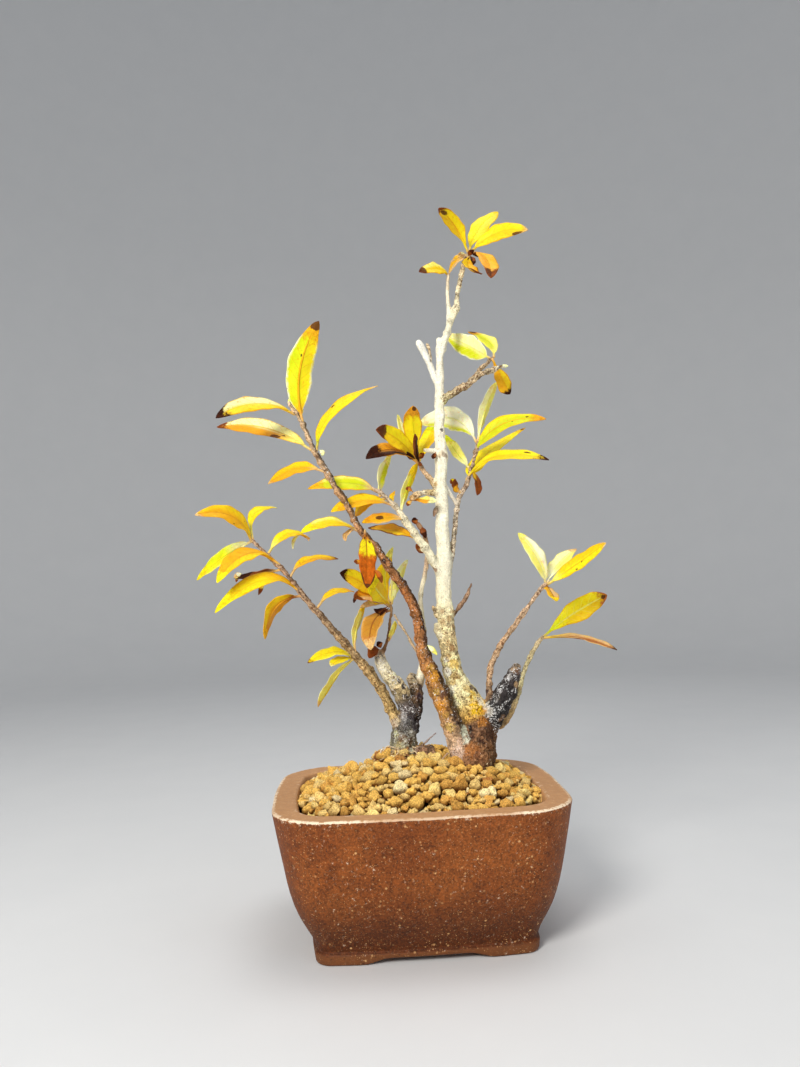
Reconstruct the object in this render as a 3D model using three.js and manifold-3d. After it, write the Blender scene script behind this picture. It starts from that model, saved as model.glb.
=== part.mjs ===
// Chinese buttonbush bonsai: two woody clumps in autumn leaf, in one small stoneware pot filled with akadama grains.
// Millimetres, +Z up. The origin is the middle of the pot's footprint, on the surface that it stands on. The front of the pot faces -Y.
import * as THREE from "three";
import { mergeVertices } from "three/addons/utils/BufferGeometryUtils.js";
import Module from "manifold-3d";

// Pot
const POT_HEIGHT = 60.7; // foot to rim
const RIM_HALF_LENGTH = 60; // along X, at the corners; the sides bow out past it
const RIM_HALF_DEPTH = 50.2; // along Y
const RIM_CORNER = 19.2; // corner radius of the rim in plan
const BOW_X = 3.6; // how far the short sides bow out
const BOW_Y = 3.5; // how far the long sides bow out
const FLOOR_UNDER = 5; // underside of the floor
const FLOOR_TOP = 11; // top of the floor
const FOOT_INSET = 6.7; // width of the foot band
const DRAIN_RADIUS = 9; // drain hole in the floor
const ARCH_RISE = 2.4; // height of the arches between the four corner feet
const ARCH_LONG = 54; // length of the arches in the long sides
const ARCH_SHORT = 36; // length of the arches in the short sides

// Soil
const SOIL_EDGE = 58.6; // height where the grains meet the wall
const SOIL_RISE = 15.2; // rise of the mound over that edge
const SOIL_PEAK = [-3, 5]; // where the mound is highest

// Drain mesh and its clip
const MESH_SIDE = 32;
const MESH_THICK = 0.9;
const MESH_HOLE = 4;
const MESH_PITCH = 6;
const WIRE_RADIUS = 0.6;

// Plant
const GAP = 0.3; // clearance between pieces that touch
const BLADE_THICK = 0.55; // leaf blade at the midrib
const EDGE_THICK = 0.35; // leaf blade at its edge
const BLADE_FOLD = 0.16; // how far the halves of a blade fold up, as a share of its width
const STALK_HALF_WIDTH = 0.5; // leaf stalk

// Leaves: node, colour, radius of the sheath that joins a pair to its twig, then for each blade its base, middle and tip, full width, width direction and where it is widest.
const LEAVES = [
  ['leaf_crown_1', 'yellow', 0.0, [
    [[33.6, 2.0, 309.0], [26.8, -5.0, 318.2], [18.4, -14.0, 322.6], 8.5, [-0.70, 0.71, 0.06], 0.55],
  ]],
  ['leaf_crown_2', 'yellow', 0.0, [
    [[34.1, 2.0, 309.5], [40.9, 8.0, 322.9], [52.1, 18.0, 335.6], 9.0, [0.86, -0.33, -0.39], 0.50],
  ]],
  ['leaf_crown_3', 'gold', 0.0, [
    [[35.4, 2.0, 309.2], [47.2, -4.0, 315.1], [59.6, -12.0, 312.9], 8.0, [0.10, -0.09, -0.99], 0.45],
  ]],
  ['leaf_crown_4', 'orange', 0.0, [
    [[35.4, 2.0, 308.8], [40.9, -7.0, 301.4], [39.9, -20.0, 287.3], 9.0, [-0.98, -0.21, 0.01], 0.50],
  ]],
  ['leaf_crown_curled_pair', 'gold', 2.2, [
    [[34.2, 1.4, 306.5], [32.1, -8.0, 296.8], [36.2, -18.0, 290.0], 8.0, [-0.92, -0.31, 0.25], 0.50],
    [[33.5, 2.0, 306.1], [28.1, 9.0, 306.0], [25.9, 16.0, 301.8], 7.0, [0.13, 0.35, 0.93], 0.50],
  ]],
  ['leaf_crown_side', 'gold', 0.0, [
    [[23.8, 4.0, 298.7], [18.1, 0.0, 299.6], [9.0, -6.0, 295.9], 7.0, [-0.37, 0.30, 0.88], 0.50],
  ]],
  ['leaf_spur_1', 'cream', 0.0, [
    [[40.7, -2.0, 255.9], [33.3, 6.0, 263.6], [23.5, 14.0, 271.6], 10.5, [0.46, -0.32, 0.83], 0.45],
  ]],
  ['leaf_spur_2', 'green', 0.0, [
    [[43.1, -2.0, 256.8], [42.8, 10.0, 267.6], [34.9, 20.0, 275.4], 8.0, [0.96, 0.23, 0.16], 0.50],
  ]],
  ['leaf_spur_3', 'orange', 0.0, [
    [[42.0, -2.6, 254.9], [46.4, 0.0, 247.3], [51.2, 4.0, 240.0], 8.5, [0.72, 0.35, 0.60], 0.60],
  ]],
  ['leaf_lateral_1', 'cream', 0.0, [
    [[35.5, 9.0, 219.4], [39.9, 10.0, 233.9], [46.3, 10.0, 247.4], 7.0, [-0.69, -0.66, 0.29], 0.50],
  ]],
  ['leaf_lateral_2', 'white', 0.0, [
    [[34.8, 9.0, 218.8], [25.2, 13.0, 230.5], [8.8, 15.0, 228.8], 11.0, [-0.30, 0.23, -0.92], 0.50],
  ]],
  ['leaf_lateral_3', 'green', 0.0, [
    [[34.1, 9.0, 214.0], [47.2, 4.0, 225.7], [66.9, 0.0, 226.8], 8.5, [0.18, -0.52, -0.83], 0.40],
  ]],
  ['leaf_lateral_pair_upper', 'bright', 2.2, [
    [[29.6, 8.0, 201.0], [41.6, 16.0, 214.0], [62.6, 26.0, 227.8], 8.5, [0.67, -0.60, -0.42], 0.30],
    [[29.6, 8.0, 201.5], [43.4, 0.0, 209.9], [63.8, -14.0, 205.2], 8.0, [-0.34, -0.65, -0.68], 0.55],
  ]],
  ['leaf_lateral_pair_lower', 'pale', 2.1, [
    [[31.3, 9.0, 206.1], [25.5, 13.0, 214.4], [21.6, 18.0, 223.7], 7.0, [0.87, 0.43, 0.26], 0.50],
    [[31.2, 9.0, 205.8], [33.8, 5.0, 199.0], [32.7, 0.0, 191.8], 5.0, [-0.77, -0.57, 0.28], 0.50],
  ]],
  ['leaf_star_pair_upright', 'vivid', 2.0, [
    [[6.3, 4.0, 208.9], [3.8, -2.0, 221.7], [3.5, -10.0, 232.1], 9.0, [-0.98, -0.09, -0.17], 0.60],
    [[6.2, 4.0, 208.8], [0.7, 12.0, 223.0], [-1.3, 20.0, 234.5], 6.0, [0.70, 0.68, -0.22], 0.60],
  ]],
  ['leaf_star_2', 'yellow', 0.0, [
    [[6.3, 3.7, 208.8], [-3.5, -5.0, 217.6], [-13.8, -14.0, 220.7], 9.5, [0.28, 0.30, 0.91], 0.50],
  ]],
  ['leaf_star_pair_dry', 'orange', 2.0, [
    [[6.1, 3.5, 208.5], [-6.3, -4.0, 213.2], [-18.6, -12.0, 208.1], 8.5, [-0.34, 0.52, 0.78], 0.50],
    [[6.2, 3.3, 208.2], [4.6, -6.0, 213.5], [3.6, -14.0, 218.5], 5.0, [-0.53, -0.37, -0.76], 0.50],
  ]],
  ['leaf_star_4', 'yellow', 0.0, [
    [[6.6, 4.0, 208.9], [11.4, 10.0, 219.5], [18.0, 18.0, 230.7], 9.0, [0.84, -0.53, -0.09], 0.50],
  ]],
  ['leaf_inner_1', 'pale', 0.0, [
    [[-3.7, -4.0, 184.1], [0.3, 0.0, 196.0], [6.1, 4.0, 208.1], 7.0, [-0.48, -0.75, 0.45], 0.50],
  ]],
  ['leaf_inner_2', 'pale', 0.0, [
    [[-12.3, -4.0, 192.4], [-11.6, 0.0, 202.4], [-6.3, 6.0, 212.5], 7.0, [0.47, 0.72, -0.50], 0.50],
  ]],
  ['leaf_inner_3', 'green', 0.0, [
    [[-13.8, -4.0, 194.5], [-28.3, -7.0, 198.2], [-44.9, -8.0, 195.8], 8.5, [-0.04, 0.56, 0.83], 0.45],
  ]],
  ['leaf_inner_pair', 'gold', 2.3, [
    [[-7.6, -4.0, 188.4], [-20.4, -8.0, 189.7], [-34.9, -9.0, 185.0], 8.5, [-0.21, 0.69, 0.69], 0.50],
    [[-6.3, -4.0, 188.3], [-7.0, -2.0, 191.3], [-5.3, 0.0, 194.7], 4.5, [0.62, -0.70, 0.35], 0.50],
  ]],
  ['leaf_inner_5', 'gold', 0.0, [
    [[-10.3, -4.0, 191.2], [-20.8, -1.0, 187.7], [-23.7, 4.0, 182.7], 7.0, [-0.12, 0.63, 0.77], 0.50],
  ]],
  ['leaf_inner_6', 'gold', 0.0, [
    [[-1.9, -4.0, 181.3], [-10.7, -7.0, 181.8], [-21.2, -10.0, 179.6], 7.5, [-0.28, 0.71, 0.65], 0.50],
  ]],
  ['leaf_inner_7', 'orange', 0.0, [
    [[2.4, -3.0, 173.0], [-7.4, 0.0, 176.8], [-18.2, 4.0, 178.3], 8.0, [0.39, 0.73, 0.57], 0.40],
  ]],
  ['leaf_brown_trunk_pair', 'yellow', 2.7, [
    [[-23.2, -14.0, 176.2], [-34.9, -19.0, 179.2], [-47.7, -24.0, 174.9], 8.0, [-0.34, 0.76, 0.55], 0.50],
    [[-24.5, -14.4, 177.3], [-28.1, -16.0, 174.4], [-28.6, -17.0, 171.3], 4.0, [-0.64, 0.77, 0.10], 0.50],
  ]],
  ['leaf_brown_trunk_hanging', 'hang', 0.0, [
    [[-20.1, -14.7, 175.7], [-19.8, -21.0, 163.8], [-20.3, -25.0, 150.4], 9.0, [-0.88, -0.44, 0.19], 0.50],
  ]],
  ['leaf_tuft_pair', 'bright', 1.8, [
    [[-9.3, 12.0, 143.2], [-20.9, 4.0, 152.4], [-31.8, -5.0, 157.7], 9.5, [0.21, 0.46, 0.86], 0.50],
    [[-9.2, 11.7, 142.0], [-18.3, 4.0, 146.4], [-25.8, -3.0, 146.2], 8.0, [-0.33, 0.59, 0.74], 0.50],
  ]],
  ['leaf_tuft_2', 'yellow', 0.0, [
    [[-9.2, 12.0, 144.1], [-10.5, 15.0, 157.0], [-6.1, 18.0, 169.8], 7.0, [0.62, 0.74, -0.25], 0.50],
  ]],
  ['leaf_tuft_3', 'pale', 0.0, [
    [[-8.3, 12.0, 143.1], [-4.8, 18.0, 153.0], [1.3, 24.0, 163.6], 8.0, [-0.43, -0.67, 0.60], 0.50],
  ]],
  ['leaf_tuft_4', 'yellow', 0.0, [
    [[-9.3, 12.0, 142.8], [-14.2, 2.0, 148.1], [-18.4, -6.0, 154.5], 10.0, [-0.50, -0.28, -0.82], 0.50],
  ]],
  ['leaf_tuft_hanging', 'tan', 0.0, [
    [[-9.1, 12.0, 140.0], [-17.4, 4.0, 134.4], [-18.9, -4.0, 122.7], 10.0, [-0.88, 0.47, 0.06], 0.50],
  ]],
  ['leaf_tan_branch_1', 'yellow', 0.0, [
    [[-42.4, -8.2, 142.8], [-34.7, -3.0, 149.2], [-25.6, 4.0, 148.9], 7.0, [0.63, -0.73, -0.26], 0.60],
  ]],
  ['leaf_tan_branch_2', 'pale', 0.0, [
    [[-26.5, -3.0, 122.0], [-25.3, 3.0, 132.0], [-20.7, 10.0, 142.2], 7.0, [-0.33, -0.75, 0.58], 0.50],
  ]],
  ['leaf_tan_branch_tuft', 'bright', 3.1, [
    [[-27.5, -3.0, 120.2], [-35.9, -9.0, 122.8], [-46.7, -16.0, 119.0], 7.5, [-0.51, 0.71, 0.49], 0.45],
    [[-28.1, -2.9, 119.7], [-32.9, -10.0, 119.2], [-36.7, -18.0, 117.5], 6.0, [-0.85, 0.45, 0.26], 0.50],
    [[-27.5, -2.8, 119.0], [-36.4, -1.0, 109.7], [-43.5, 2.0, 97.6], 7.0, [0.49, 0.86, -0.17], 0.50],
  ]],
  ['leaf_left_end_pair', 'gold', 1.8, [
    [[-69.9, -12.0, 173.3], [-77.7, -20.0, 183.4], [-91.2, -30.0, 183.3], 9.0, [-0.06, 0.53, 0.84], 0.40],
    [[-69.9, -12.0, 173.9], [-69.2, -4.0, 185.6], [-59.9, 4.0, 188.8], 7.5, [0.88, -0.46, -0.10], 0.65],
  ]],
  ['leaf_left_end_2', 'green', 0.0, [
    [[-70.3, -12.0, 172.9], [-83.5, -3.0, 166.7], [-97.3, 6.0, 156.9], 9.0, [-0.10, 0.58, 0.81], 0.50],
  ]],
  ['leaf_left_end_3', 'gold', 0.0, [
    [[-58.4, -12.0, 162.8], [-71.3, -20.0, 166.8], [-82.7, -30.0, 154.7], 9.5, [-0.62, 0.61, 0.49], 0.50],
  ]],
  ['leaf_left_end_4', 'bright', 0.0, [
    [[-63.1, -12.0, 167.3], [-54.4, -7.0, 175.9], [-44.9, -2.0, 173.6], 7.0, [0.54, -0.67, -0.50], 0.50],
  ]],
  ['leaf_left_end_dry', 'brown', 0.0, [
    [[-58.5, -11.4, 160.1], [-69.4, -4.0, 158.1], [-80.1, 3.0, 157.2], 5.5, [0.39, 0.71, 0.59], 0.45],
  ]],
  ['leaf_left_end_6', 'bright', 0.0, [
    [[-49.6, -10.0, 150.2], [-65.0, -17.0, 155.5], [-84.4, -26.0, 142.2], 9.5, [-0.45, 0.71, 0.54], 0.50],
  ]],
  ['leaf_left_end_7', 'orange', 0.0, [
    [[-49.8, -10.0, 148.2], [-60.3, -15.0, 143.2], [-64.3, -22.0, 130.3], 9.0, [0.21, 0.72, -0.66], 0.50],
  ]],
  ['leaf_left_end_8', 'yellow', 0.0, [
    [[-53.6, -11.0, 157.2], [-45.9, -5.0, 164.0], [-32.5, 4.0, 164.4], 7.0, [0.62, -0.68, -0.39], 0.60],
  ]],
  ['leaf_brown_tip_pair', 'lime', 2.1, [
    [[-46.5, -14.0, 226.0], [-46.6, -17.0, 247.6], [-37.6, -20.0, 268.6], 12.0, [-0.96, -0.20, 0.17], 0.45],
    [[-47.0, -13.6, 226.7], [-49.3, -8.0, 232.7], [-52.6, -4.0, 237.8], 6.0, [0.91, 0.39, 0.12], 0.50],
  ]],
  ['leaf_brown_tip_2', 'white', 0.0, [
    [[-50.1, -14.0, 229.1], [-65.5, -24.0, 231.2], [-81.2, -34.0, 223.3], 9.0, [-0.43, 0.45, 0.78], 0.50],
  ]],
  ['leaf_brown_tip_3', 'cream', 0.0, [
    [[-43.1, -14.0, 212.9], [-64.0, -6.0, 224.3], [-86.5, 4.0, 227.2], 10.0, [0.45, 0.51, 0.73], 0.45],
  ]],
  ['leaf_brown_tip_4', 'bright', 0.0, [
    [[-40.6, -13.5, 212.8], [-32.3, -5.0, 231.6], [-11.4, 4.0, 245.1], 8.0, [0.70, -0.66, -0.28], 0.50],
  ]],
  ['leaf_brown_tip_5', 'gold', 0.0, [
    [[-38.0, -13.3, 203.2], [-50.2, -6.0, 205.2], [-63.4, 0.0, 199.5], 8.5, [0.19, 0.57, 0.80], 0.55],
  ]],
  ['leaf_right_shoot_1', 'white', 0.0, [
    [[59.4, -16.0, 149.9], [55.1, -19.0, 161.5], [47.4, -18.0, 172.4], 8.0, [0.81, 0.37, 0.46], 0.45],
  ]],
  ['leaf_right_shoot_2', 'pale', 0.0, [
    [[59.7, -16.0, 150.2], [67.5, -9.0, 158.8], [78.2, 0.0, 165.3], 8.0, [0.72, -0.67, -0.17], 0.50],
  ]],
  ['leaf_right_shoot_pair', 'yellow', 2.0, [
    [[60.1, -16.0, 149.7], [71.3, -23.0, 157.3], [82.3, -32.0, 166.1], 8.5, [0.04, -0.69, -0.73], 0.50],
    [[59.7, -16.0, 148.7], [60.4, -20.0, 145.9], [60.9, -26.0, 142.0], 7.0, [-0.90, -0.31, 0.30], 0.50],
  ]],
  ['leaf_right_low_1', 'yellow', 0.0, [
    [[64.2, 13.0, 124.8], [77.4, 8.0, 134.9], [92.4, 2.0, 143.4], 11.0, [0.36, -0.46, -0.81], 0.60],
  ]],
  ['leaf_right_low_2', 'tan', 0.0, [
    [[64.5, 13.0, 124.4], [80.2, 8.0, 123.5], [96.1, 3.0, 117.6], 8.0, [-0.34, -0.91, -0.22], 0.50],
  ]],
];
// Limbs of the two clumps: stations of x, y, z and radius.
const LEFT_LIMBS = [
  // stem
  [[-5.1, 8.0, 67.3, 6.91], [-4.9, 8.0, 72.7, 6.69], [-4.6, 8.0, 82.2, 5.78], [-4.0, 8.0, 87.2, 5.55]],
  // long tan branch
  [[-5.6, 8.0, 81.4, 3.23], [-7.7, 7.0, 88.5, 2.88], [-10.7, 6.0, 95.1, 2.53], [-13.4, 4.0, 101.9, 2.29], [-21.3, 0.0, 114.4, 2.04], [-30.0, -4.0, 125.3, 1.80], [-40.3, -8.0, 138.3, 1.56], [-45.4, -9.0, 144.3, 1.33], [-54.6, -11.0, 157.0, 1.10], [-59.7, -12.0, 162.9, 0.99], [-69.9, -12.0, 173.3, 0.66]],
  // thick dead limb
  [[-3.5, 9.0, 84.3, 4.63], [-2.3, 9.0, 91.6, 4.41], [-3.5, 9.0, 97.6, 3.95], [-6.1, 9.0, 102.8, 3.72], [-9.7, 9.0, 108.0, 3.25], [-12.7, 10.0, 112.6, 3.03], [-14.5, 10.0, 116.9, 2.80], [-15.7, 10.0, 120.6, 2.10]],
  // live twig on the dead limb
  [[-14.9, 10.0, 117.8, 1.40], [-12.4, 10.0, 122.4, 0.93], [-10.3, 11.0, 127.8, 0.75], [-9.1, 12.0, 134.3, 0.71], [-8.4, 12.0, 139.9, 0.71], [-8.8, 12.0, 143.6, 0.71]],
  // dark stub
  [[-1.1, 10.0, 84.0, 3.72], [1.1, 11.0, 93.0, 3.27], [1.9, 11.0, 100.8, 3.04], [1.1, 11.0, 105.9, 2.81], [0.3, 11.0, 109.2, 1.87]],
  // cream twig on the stub
  [[2.4, 11.0, 101.3, 2.10], [4.0, 11.0, 107.2, 1.99], [6.5, 13.0, 118.1, 1.30], [7.2, 13.0, 125.1, 1.13], [6.6, 13.0, 133.6, 1.09], [5.8, 12.0, 141.7, 1.09], [6.0, 11.0, 147.8, 1.09], [7.4, 9.0, 153.4, 1.08], [8.3, 6.0, 158.9, 1.07], [8.8, 4.0, 164.4, 0.98], [8.8, 3.0, 169.5, 0.97], [7.6, 3.0, 174.7, 1.05], [5.0, 3.0, 179.4, 1.16]],
];
// Small scale leaves that stay part of the wood.
const LEFT_SCALES = [
  [[-10.3, 10.9, 126.1], [-8.1, 7.0, 130.2], [-7.2, 4.0, 134.9], 4.0, [-0.76, -0.61, -0.21], 0.50],
];
const RIGHT_LIMBS = [
  // base
  [[24.7, -6.0, 65.2, 10.26], [25.0, -6.0, 71.4, 9.60], [27.2, -6.0, 81.8, 8.51], [27.9, -6.0, 87.1, 8.07]],
  // brown leaning trunk
  [[20.7, -7.0, 70.0, 4.90], [18.6, -8.0, 77.3, 4.44], [17.1, -8.0, 84.0, 4.45], [15.4, -9.0, 89.9, 4.22], [12.9, -10.0, 96.7, 3.99], [10.0, -10.0, 104.3, 3.88], [7.5, -11.0, 111.1, 3.54], [5.5, -11.0, 116.5, 3.32], [3.8, -12.0, 122.3, 2.87], [2.5, -12.0, 134.7, 2.44], [0.4, -13.0, 141.0, 2.43], [-2.4, -13.0, 147.2, 2.21], [-6.7, -14.0, 154.4, 2.10], [-14.2, -14.0, 166.2, 1.77], [-22.3, -14.0, 176.2, 1.66], [-29.4, -14.0, 190.1, 1.44], [-40.3, -14.0, 209.6, 1.33], [-46.5, -14.0, 224.1, 1.11], [-52.0, -14.0, 234.1, 0.67]],
  // cream main trunk
  [[27.8, -5.0, 80.7, 8.53], [27.2, -4.0, 85.9, 7.66], [26.1, -4.0, 91.8, 7.21], [23.8, -3.0, 97.5, 6.56], [20.8, -3.0, 103.0, 5.66], [19.3, -2.0, 107.5, 4.77], [17.7, -2.0, 112.9, 4.32], [16.3, 0.0, 125.5, 4.12], [15.4, 0.0, 143.8, 3.63], [16.0, 0.0, 157.6, 3.45], [16.4, 0.0, 205.8, 2.79], [16.6, 0.0, 210.1, 3.11], [16.4, 0.0, 225.1, 2.42], [17.9, 0.0, 262.1, 1.69], [17.5, 0.0, 265.9, 1.06]],
  // black dead stub
  [[29.6, -6.0, 85.3, 5.83], [33.7, -7.0, 90.1, 5.37], [37.4, -8.0, 95.8, 4.92], [40.3, -8.0, 100.6, 4.70], [42.8, -8.0, 105.3, 4.04], [46.6, -8.0, 113.6, 1.57]],
  // young shoot
  [[31.6, -4.0, 92.9, 2.03], [33.0, -5.0, 98.3, 1.53], [34.5, -8.0, 112.8, 1.35], [36.3, -9.0, 117.7, 1.34], [38.1, -10.0, 121.3, 1.25], [44.0, -12.0, 130.0, 1.11], [57.0, -16.0, 147.4, 1.02], [59.3, -16.0, 149.5, 0.89]],
  // lower young shoot
  [[33.8, -6.0, 88.6, 2.47], [38.0, -5.0, 87.4, 1.91], [41.7, -3.0, 89.6, 1.54], [44.5, -1.0, 92.8, 1.32], [47.2, 2.0, 96.8, 1.20], [53.3, 8.0, 109.7, 1.17], [55.8, 10.0, 114.0, 1.11], [58.2, 11.0, 118.1, 1.09], [63.8, 13.0, 124.8, 0.95]],
  // leader
  [[18.0, 0.0, 257.8, 1.52], [21.1, 0.0, 266.8, 1.64], [22.9, 1.0, 271.9, 1.53], [24.5, 1.0, 276.2, 1.42], [26.7, 2.0, 280.9, 1.66], [27.4, 2.0, 286.2, 1.19], [30.9, 2.0, 301.2, 1.09], [33.0, 2.0, 306.1, 1.19], [34.5, 2.0, 309.0, 0.95]],
  // second leader
  [[22.8, 1.0, 268.5, 1.18], [23.3, 3.0, 281.8, 0.95], [23.1, 3.0, 288.1, 0.95], [23.4, 4.0, 293.3, 0.86], [23.8, 4.0, 298.2, 0.86]],
  // cut stub at the top
  [[17.0, 0.0, 243.5, 1.87], [12.9, -2.0, 253.0, 1.54], [8.6, -4.0, 261.7, 1.71], [7.7, -4.0, 263.4, 1.39]],
  // bud on that stub
  [[12.9, -2.0, 252.6, 0.79], [13.2, -1.0, 258.1, 0.79], [12.1, 0.0, 263.6, 0.70]],
  // knobbly spur
  [[17.1, 0.0, 235.9, 2.10], [20.4, -1.0, 238.0, 1.86], [23.1, -2.0, 239.1, 1.67], [29.5, -4.0, 243.0, 1.62], [33.2, -5.0, 245.7, 1.43], [37.4, -6.0, 247.7, 1.29], [41.4, -7.0, 248.8, 1.15], [44.7, -7.0, 249.9, 0.92], [47.8, -8.0, 250.3, 0.60]],
  // fork of the spur
  [[31.8, -5.0, 244.8, 1.04], [35.4, -4.0, 249.3, 0.98], [41.7, -2.0, 255.4, 0.94], [43.1, -2.0, 256.8, 0.70]],
  // pale inner branch
  [[16.3, 0.0, 153.9, 2.30], [7.3, -3.0, 168.3, 1.94], [4.2, -3.0, 172.5, 1.83], [1.5, -4.0, 176.2, 1.64], [-5.0, -4.0, 186.4, 1.25], [-13.4, -4.0, 194.5, 0.91], [-16.1, -4.0, 195.9, 0.68]],
  // lateral on the right
  [[16.7, 0.0, 153.0, 1.84], [19.1, 2.0, 160.3, 1.51], [20.4, 3.0, 166.8, 1.30], [21.6, 3.0, 173.3, 1.16], [22.5, 4.0, 179.4, 1.17], [23.4, 4.0, 184.6, 1.17], [24.4, 5.0, 189.4, 1.17], [26.1, 6.0, 193.2, 1.18], [30.5, 8.0, 200.5, 1.09], [31.8, 9.0, 204.9, 1.00], [33.4, 9.0, 209.7, 0.95], [35.3, 9.0, 218.8, 0.81]],
  // graft of the lateral
  [[18.1, 1.0, 196.6, 1.16], [22.3, 3.0, 190.1, 0.93], [23.9, 4.0, 186.4, 0.94]],
  // dry twig
  [[17.4, 0.0, 135.1, 1.38], [21.9, -2.0, 140.0, 0.96], [24.3, -3.0, 143.5, 1.05], [27.5, -5.0, 150.7, 0.57]],
  // nub
  [[13.8, 0.0, 136.6, 1.83], [11.2, -1.0, 138.5, 1.37], [10.2, -1.0, 141.3, 0.82]],
  // bulge
  [[15.7, 0.0, 125.6, 2.06], [11.9, -2.0, 129.4, 1.82], [11.1, -2.0, 133.1, 1.14]],
  // twig of the leaf star
  [[16.0, 0.0, 193.7, 1.39], [13.4, 1.0, 197.2, 1.86], [10.1, 3.0, 202.2, 1.07], [8.4, 4.0, 205.2, 1.08], [6.6, 4.0, 208.1, 0.94]],
  // short stub
  [[15.9, 0.0, 192.8, 1.62], [10.6, -2.0, 193.6, 1.50], [6.8, -3.0, 193.1, 1.15], [3.5, -4.0, 191.7, 1.83], [1.4, -4.0, 190.9, 1.14]],
  // short stub at the node ring
  [[16.7, 0.0, 211.9, 1.63], [8.6, -2.0, 213.2, 0.92]],
  // thin tan twig
  [[4.3, -9.0, 115.9, 1.00], [-3.8, -6.0, 131.1, 0.67], [-8.0, -4.0, 138.4, 0.56]],
  // broken root
  [[28.1, -6.0, 72.1, 3.58], [31.9, -9.0, 76.0, 2.00], [33.3, -9.0, 79.0, 1.11]],
  // bare leaf stalk
  [[33.5, 2.0, 307.6, 0.71], [29.9, 4.0, 306.9, 0.48], [25.8, 6.0, 305.3, 0.48]],
  // bud
  [[15.7, 0.0, 186.3, 1.39], [12.9, -2.0, 185.2, 1.15], [12.1, -2.0, 182.5, 0.69]],
];
const RIGHT_SCALES = [
  [[25.7, 6.0, 193.7], [23.6, 4.0, 196.3], [23.0, 2.0, 199.9], 4.5, [-0.67, -0.46, -0.58], 0.50],
  [[2.5, -4.0, 190.4], [7.2, -7.0, 189.4], [13.0, -8.0, 188.7], 5.0, [-0.35, -0.64, -0.68], 0.60],
];
const STUMP = [
  [[2.0, 2.0, 68.0, 3.40], [3.4, 0.2, 71.5, 4.20], [5.0, -0.5, 74.6, 4.30], [6.6, -0.6, 76.8, 3.10], [7.3, -0.6, 77.8, 1.40]],
  [[2.6, 0.0, 73.5, 1.20], [-0.3, 0.2, 76.0, 0.80], [3.5, 0.3, 79.2, 0.55], [9.5, 0.5, 83.8, 0.40]],
];

const COLOURS = {
  yellow: 0xf2cf1d,
  gold: 0xeab020,
  orange: 0xdf8a1c,
  tan: 0xd9a955,
  cream: 0xf4eeb0,
  white: 0xfbf6dc,
  green: 0xcfd722,
  lime: 0xdbe21f,
  bright: 0xf6ea1e,
  brownyellow: 0xd79a24,
  pale: 0xf2eda0,
  vivid: 0xf0c81a,
  hang: 0xde7a1c,
  brown: 0x8a4a1c,
};

const wasm = await Module();
wasm.setup();

// A closed geometry as a solid with its faces pointing out.
function solid(geometry) {
  const bare = new THREE.BufferGeometry().setAttribute("position", geometry.getAttribute("position"));
  if (geometry.index) bare.setIndex(geometry.index);
  const merged = mergeVertices(bare, 1e-4);
  const triVerts = new Uint32Array(merged.index.array);
  const build = () =>
    new wasm.Manifold(new wasm.Mesh({ numProp: 3, vertProperties: new Float32Array(merged.attributes.position.array), triVerts }));
  let made = build();
  if (made.volume() < 0) {
    for (let i = 0; i < triVerts.length; i += 3) [triVerts[i + 1], triVerts[i + 2]] = [triVerts[i + 2], triVerts[i + 1]];
    made = build();
  }
  return made;
}

function geometryOf(manifold) {
  const m = manifold.getMesh();
  const positions = new Float32Array(m.numVert * 3);
  for (let i = 0; i < m.numVert; i++) positions.set(m.vertProperties.subarray(i * m.numProp, i * m.numProp + 3), i * 3);
  const g = new THREE.BufferGeometry().setAttribute("position", new THREE.BufferAttribute(positions, 3));
  g.setIndex(new THREE.BufferAttribute(new Uint32Array(m.triVerts), 1));
  g.computeVertexNormals();
  return g;
}

// Rings with the same number of points, joined in order and closed at both ends.
function loft(rings) {
  const n = rings[0].length;
  const points = rings.flat();
  const centre = (ring) => ring.reduce((s, p) => s.add(p), new THREE.Vector3()).divideScalar(n);
  const index = [];
  for (let i = 0; i + 1 < rings.length; i++)
    for (let j = 0; j < n; j++) {
      const a = i * n + j,
        b = i * n + ((j + 1) % n);
      index.push(a, b, b + n, a, b + n, a + n);
    }
  points.push(centre(rings[0]), centre(rings[rings.length - 1]));
  const last = (rings.length - 1) * n;
  for (let j = 0; j < n; j++) {
    index.push(rings.length * n, (j + 1) % n, j);
    index.push(rings.length * n + 1, last + j, last + ((j + 1) % n));
  }
  return new THREE.BufferGeometry().setFromPoints(points).setIndex(index);
}

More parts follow.
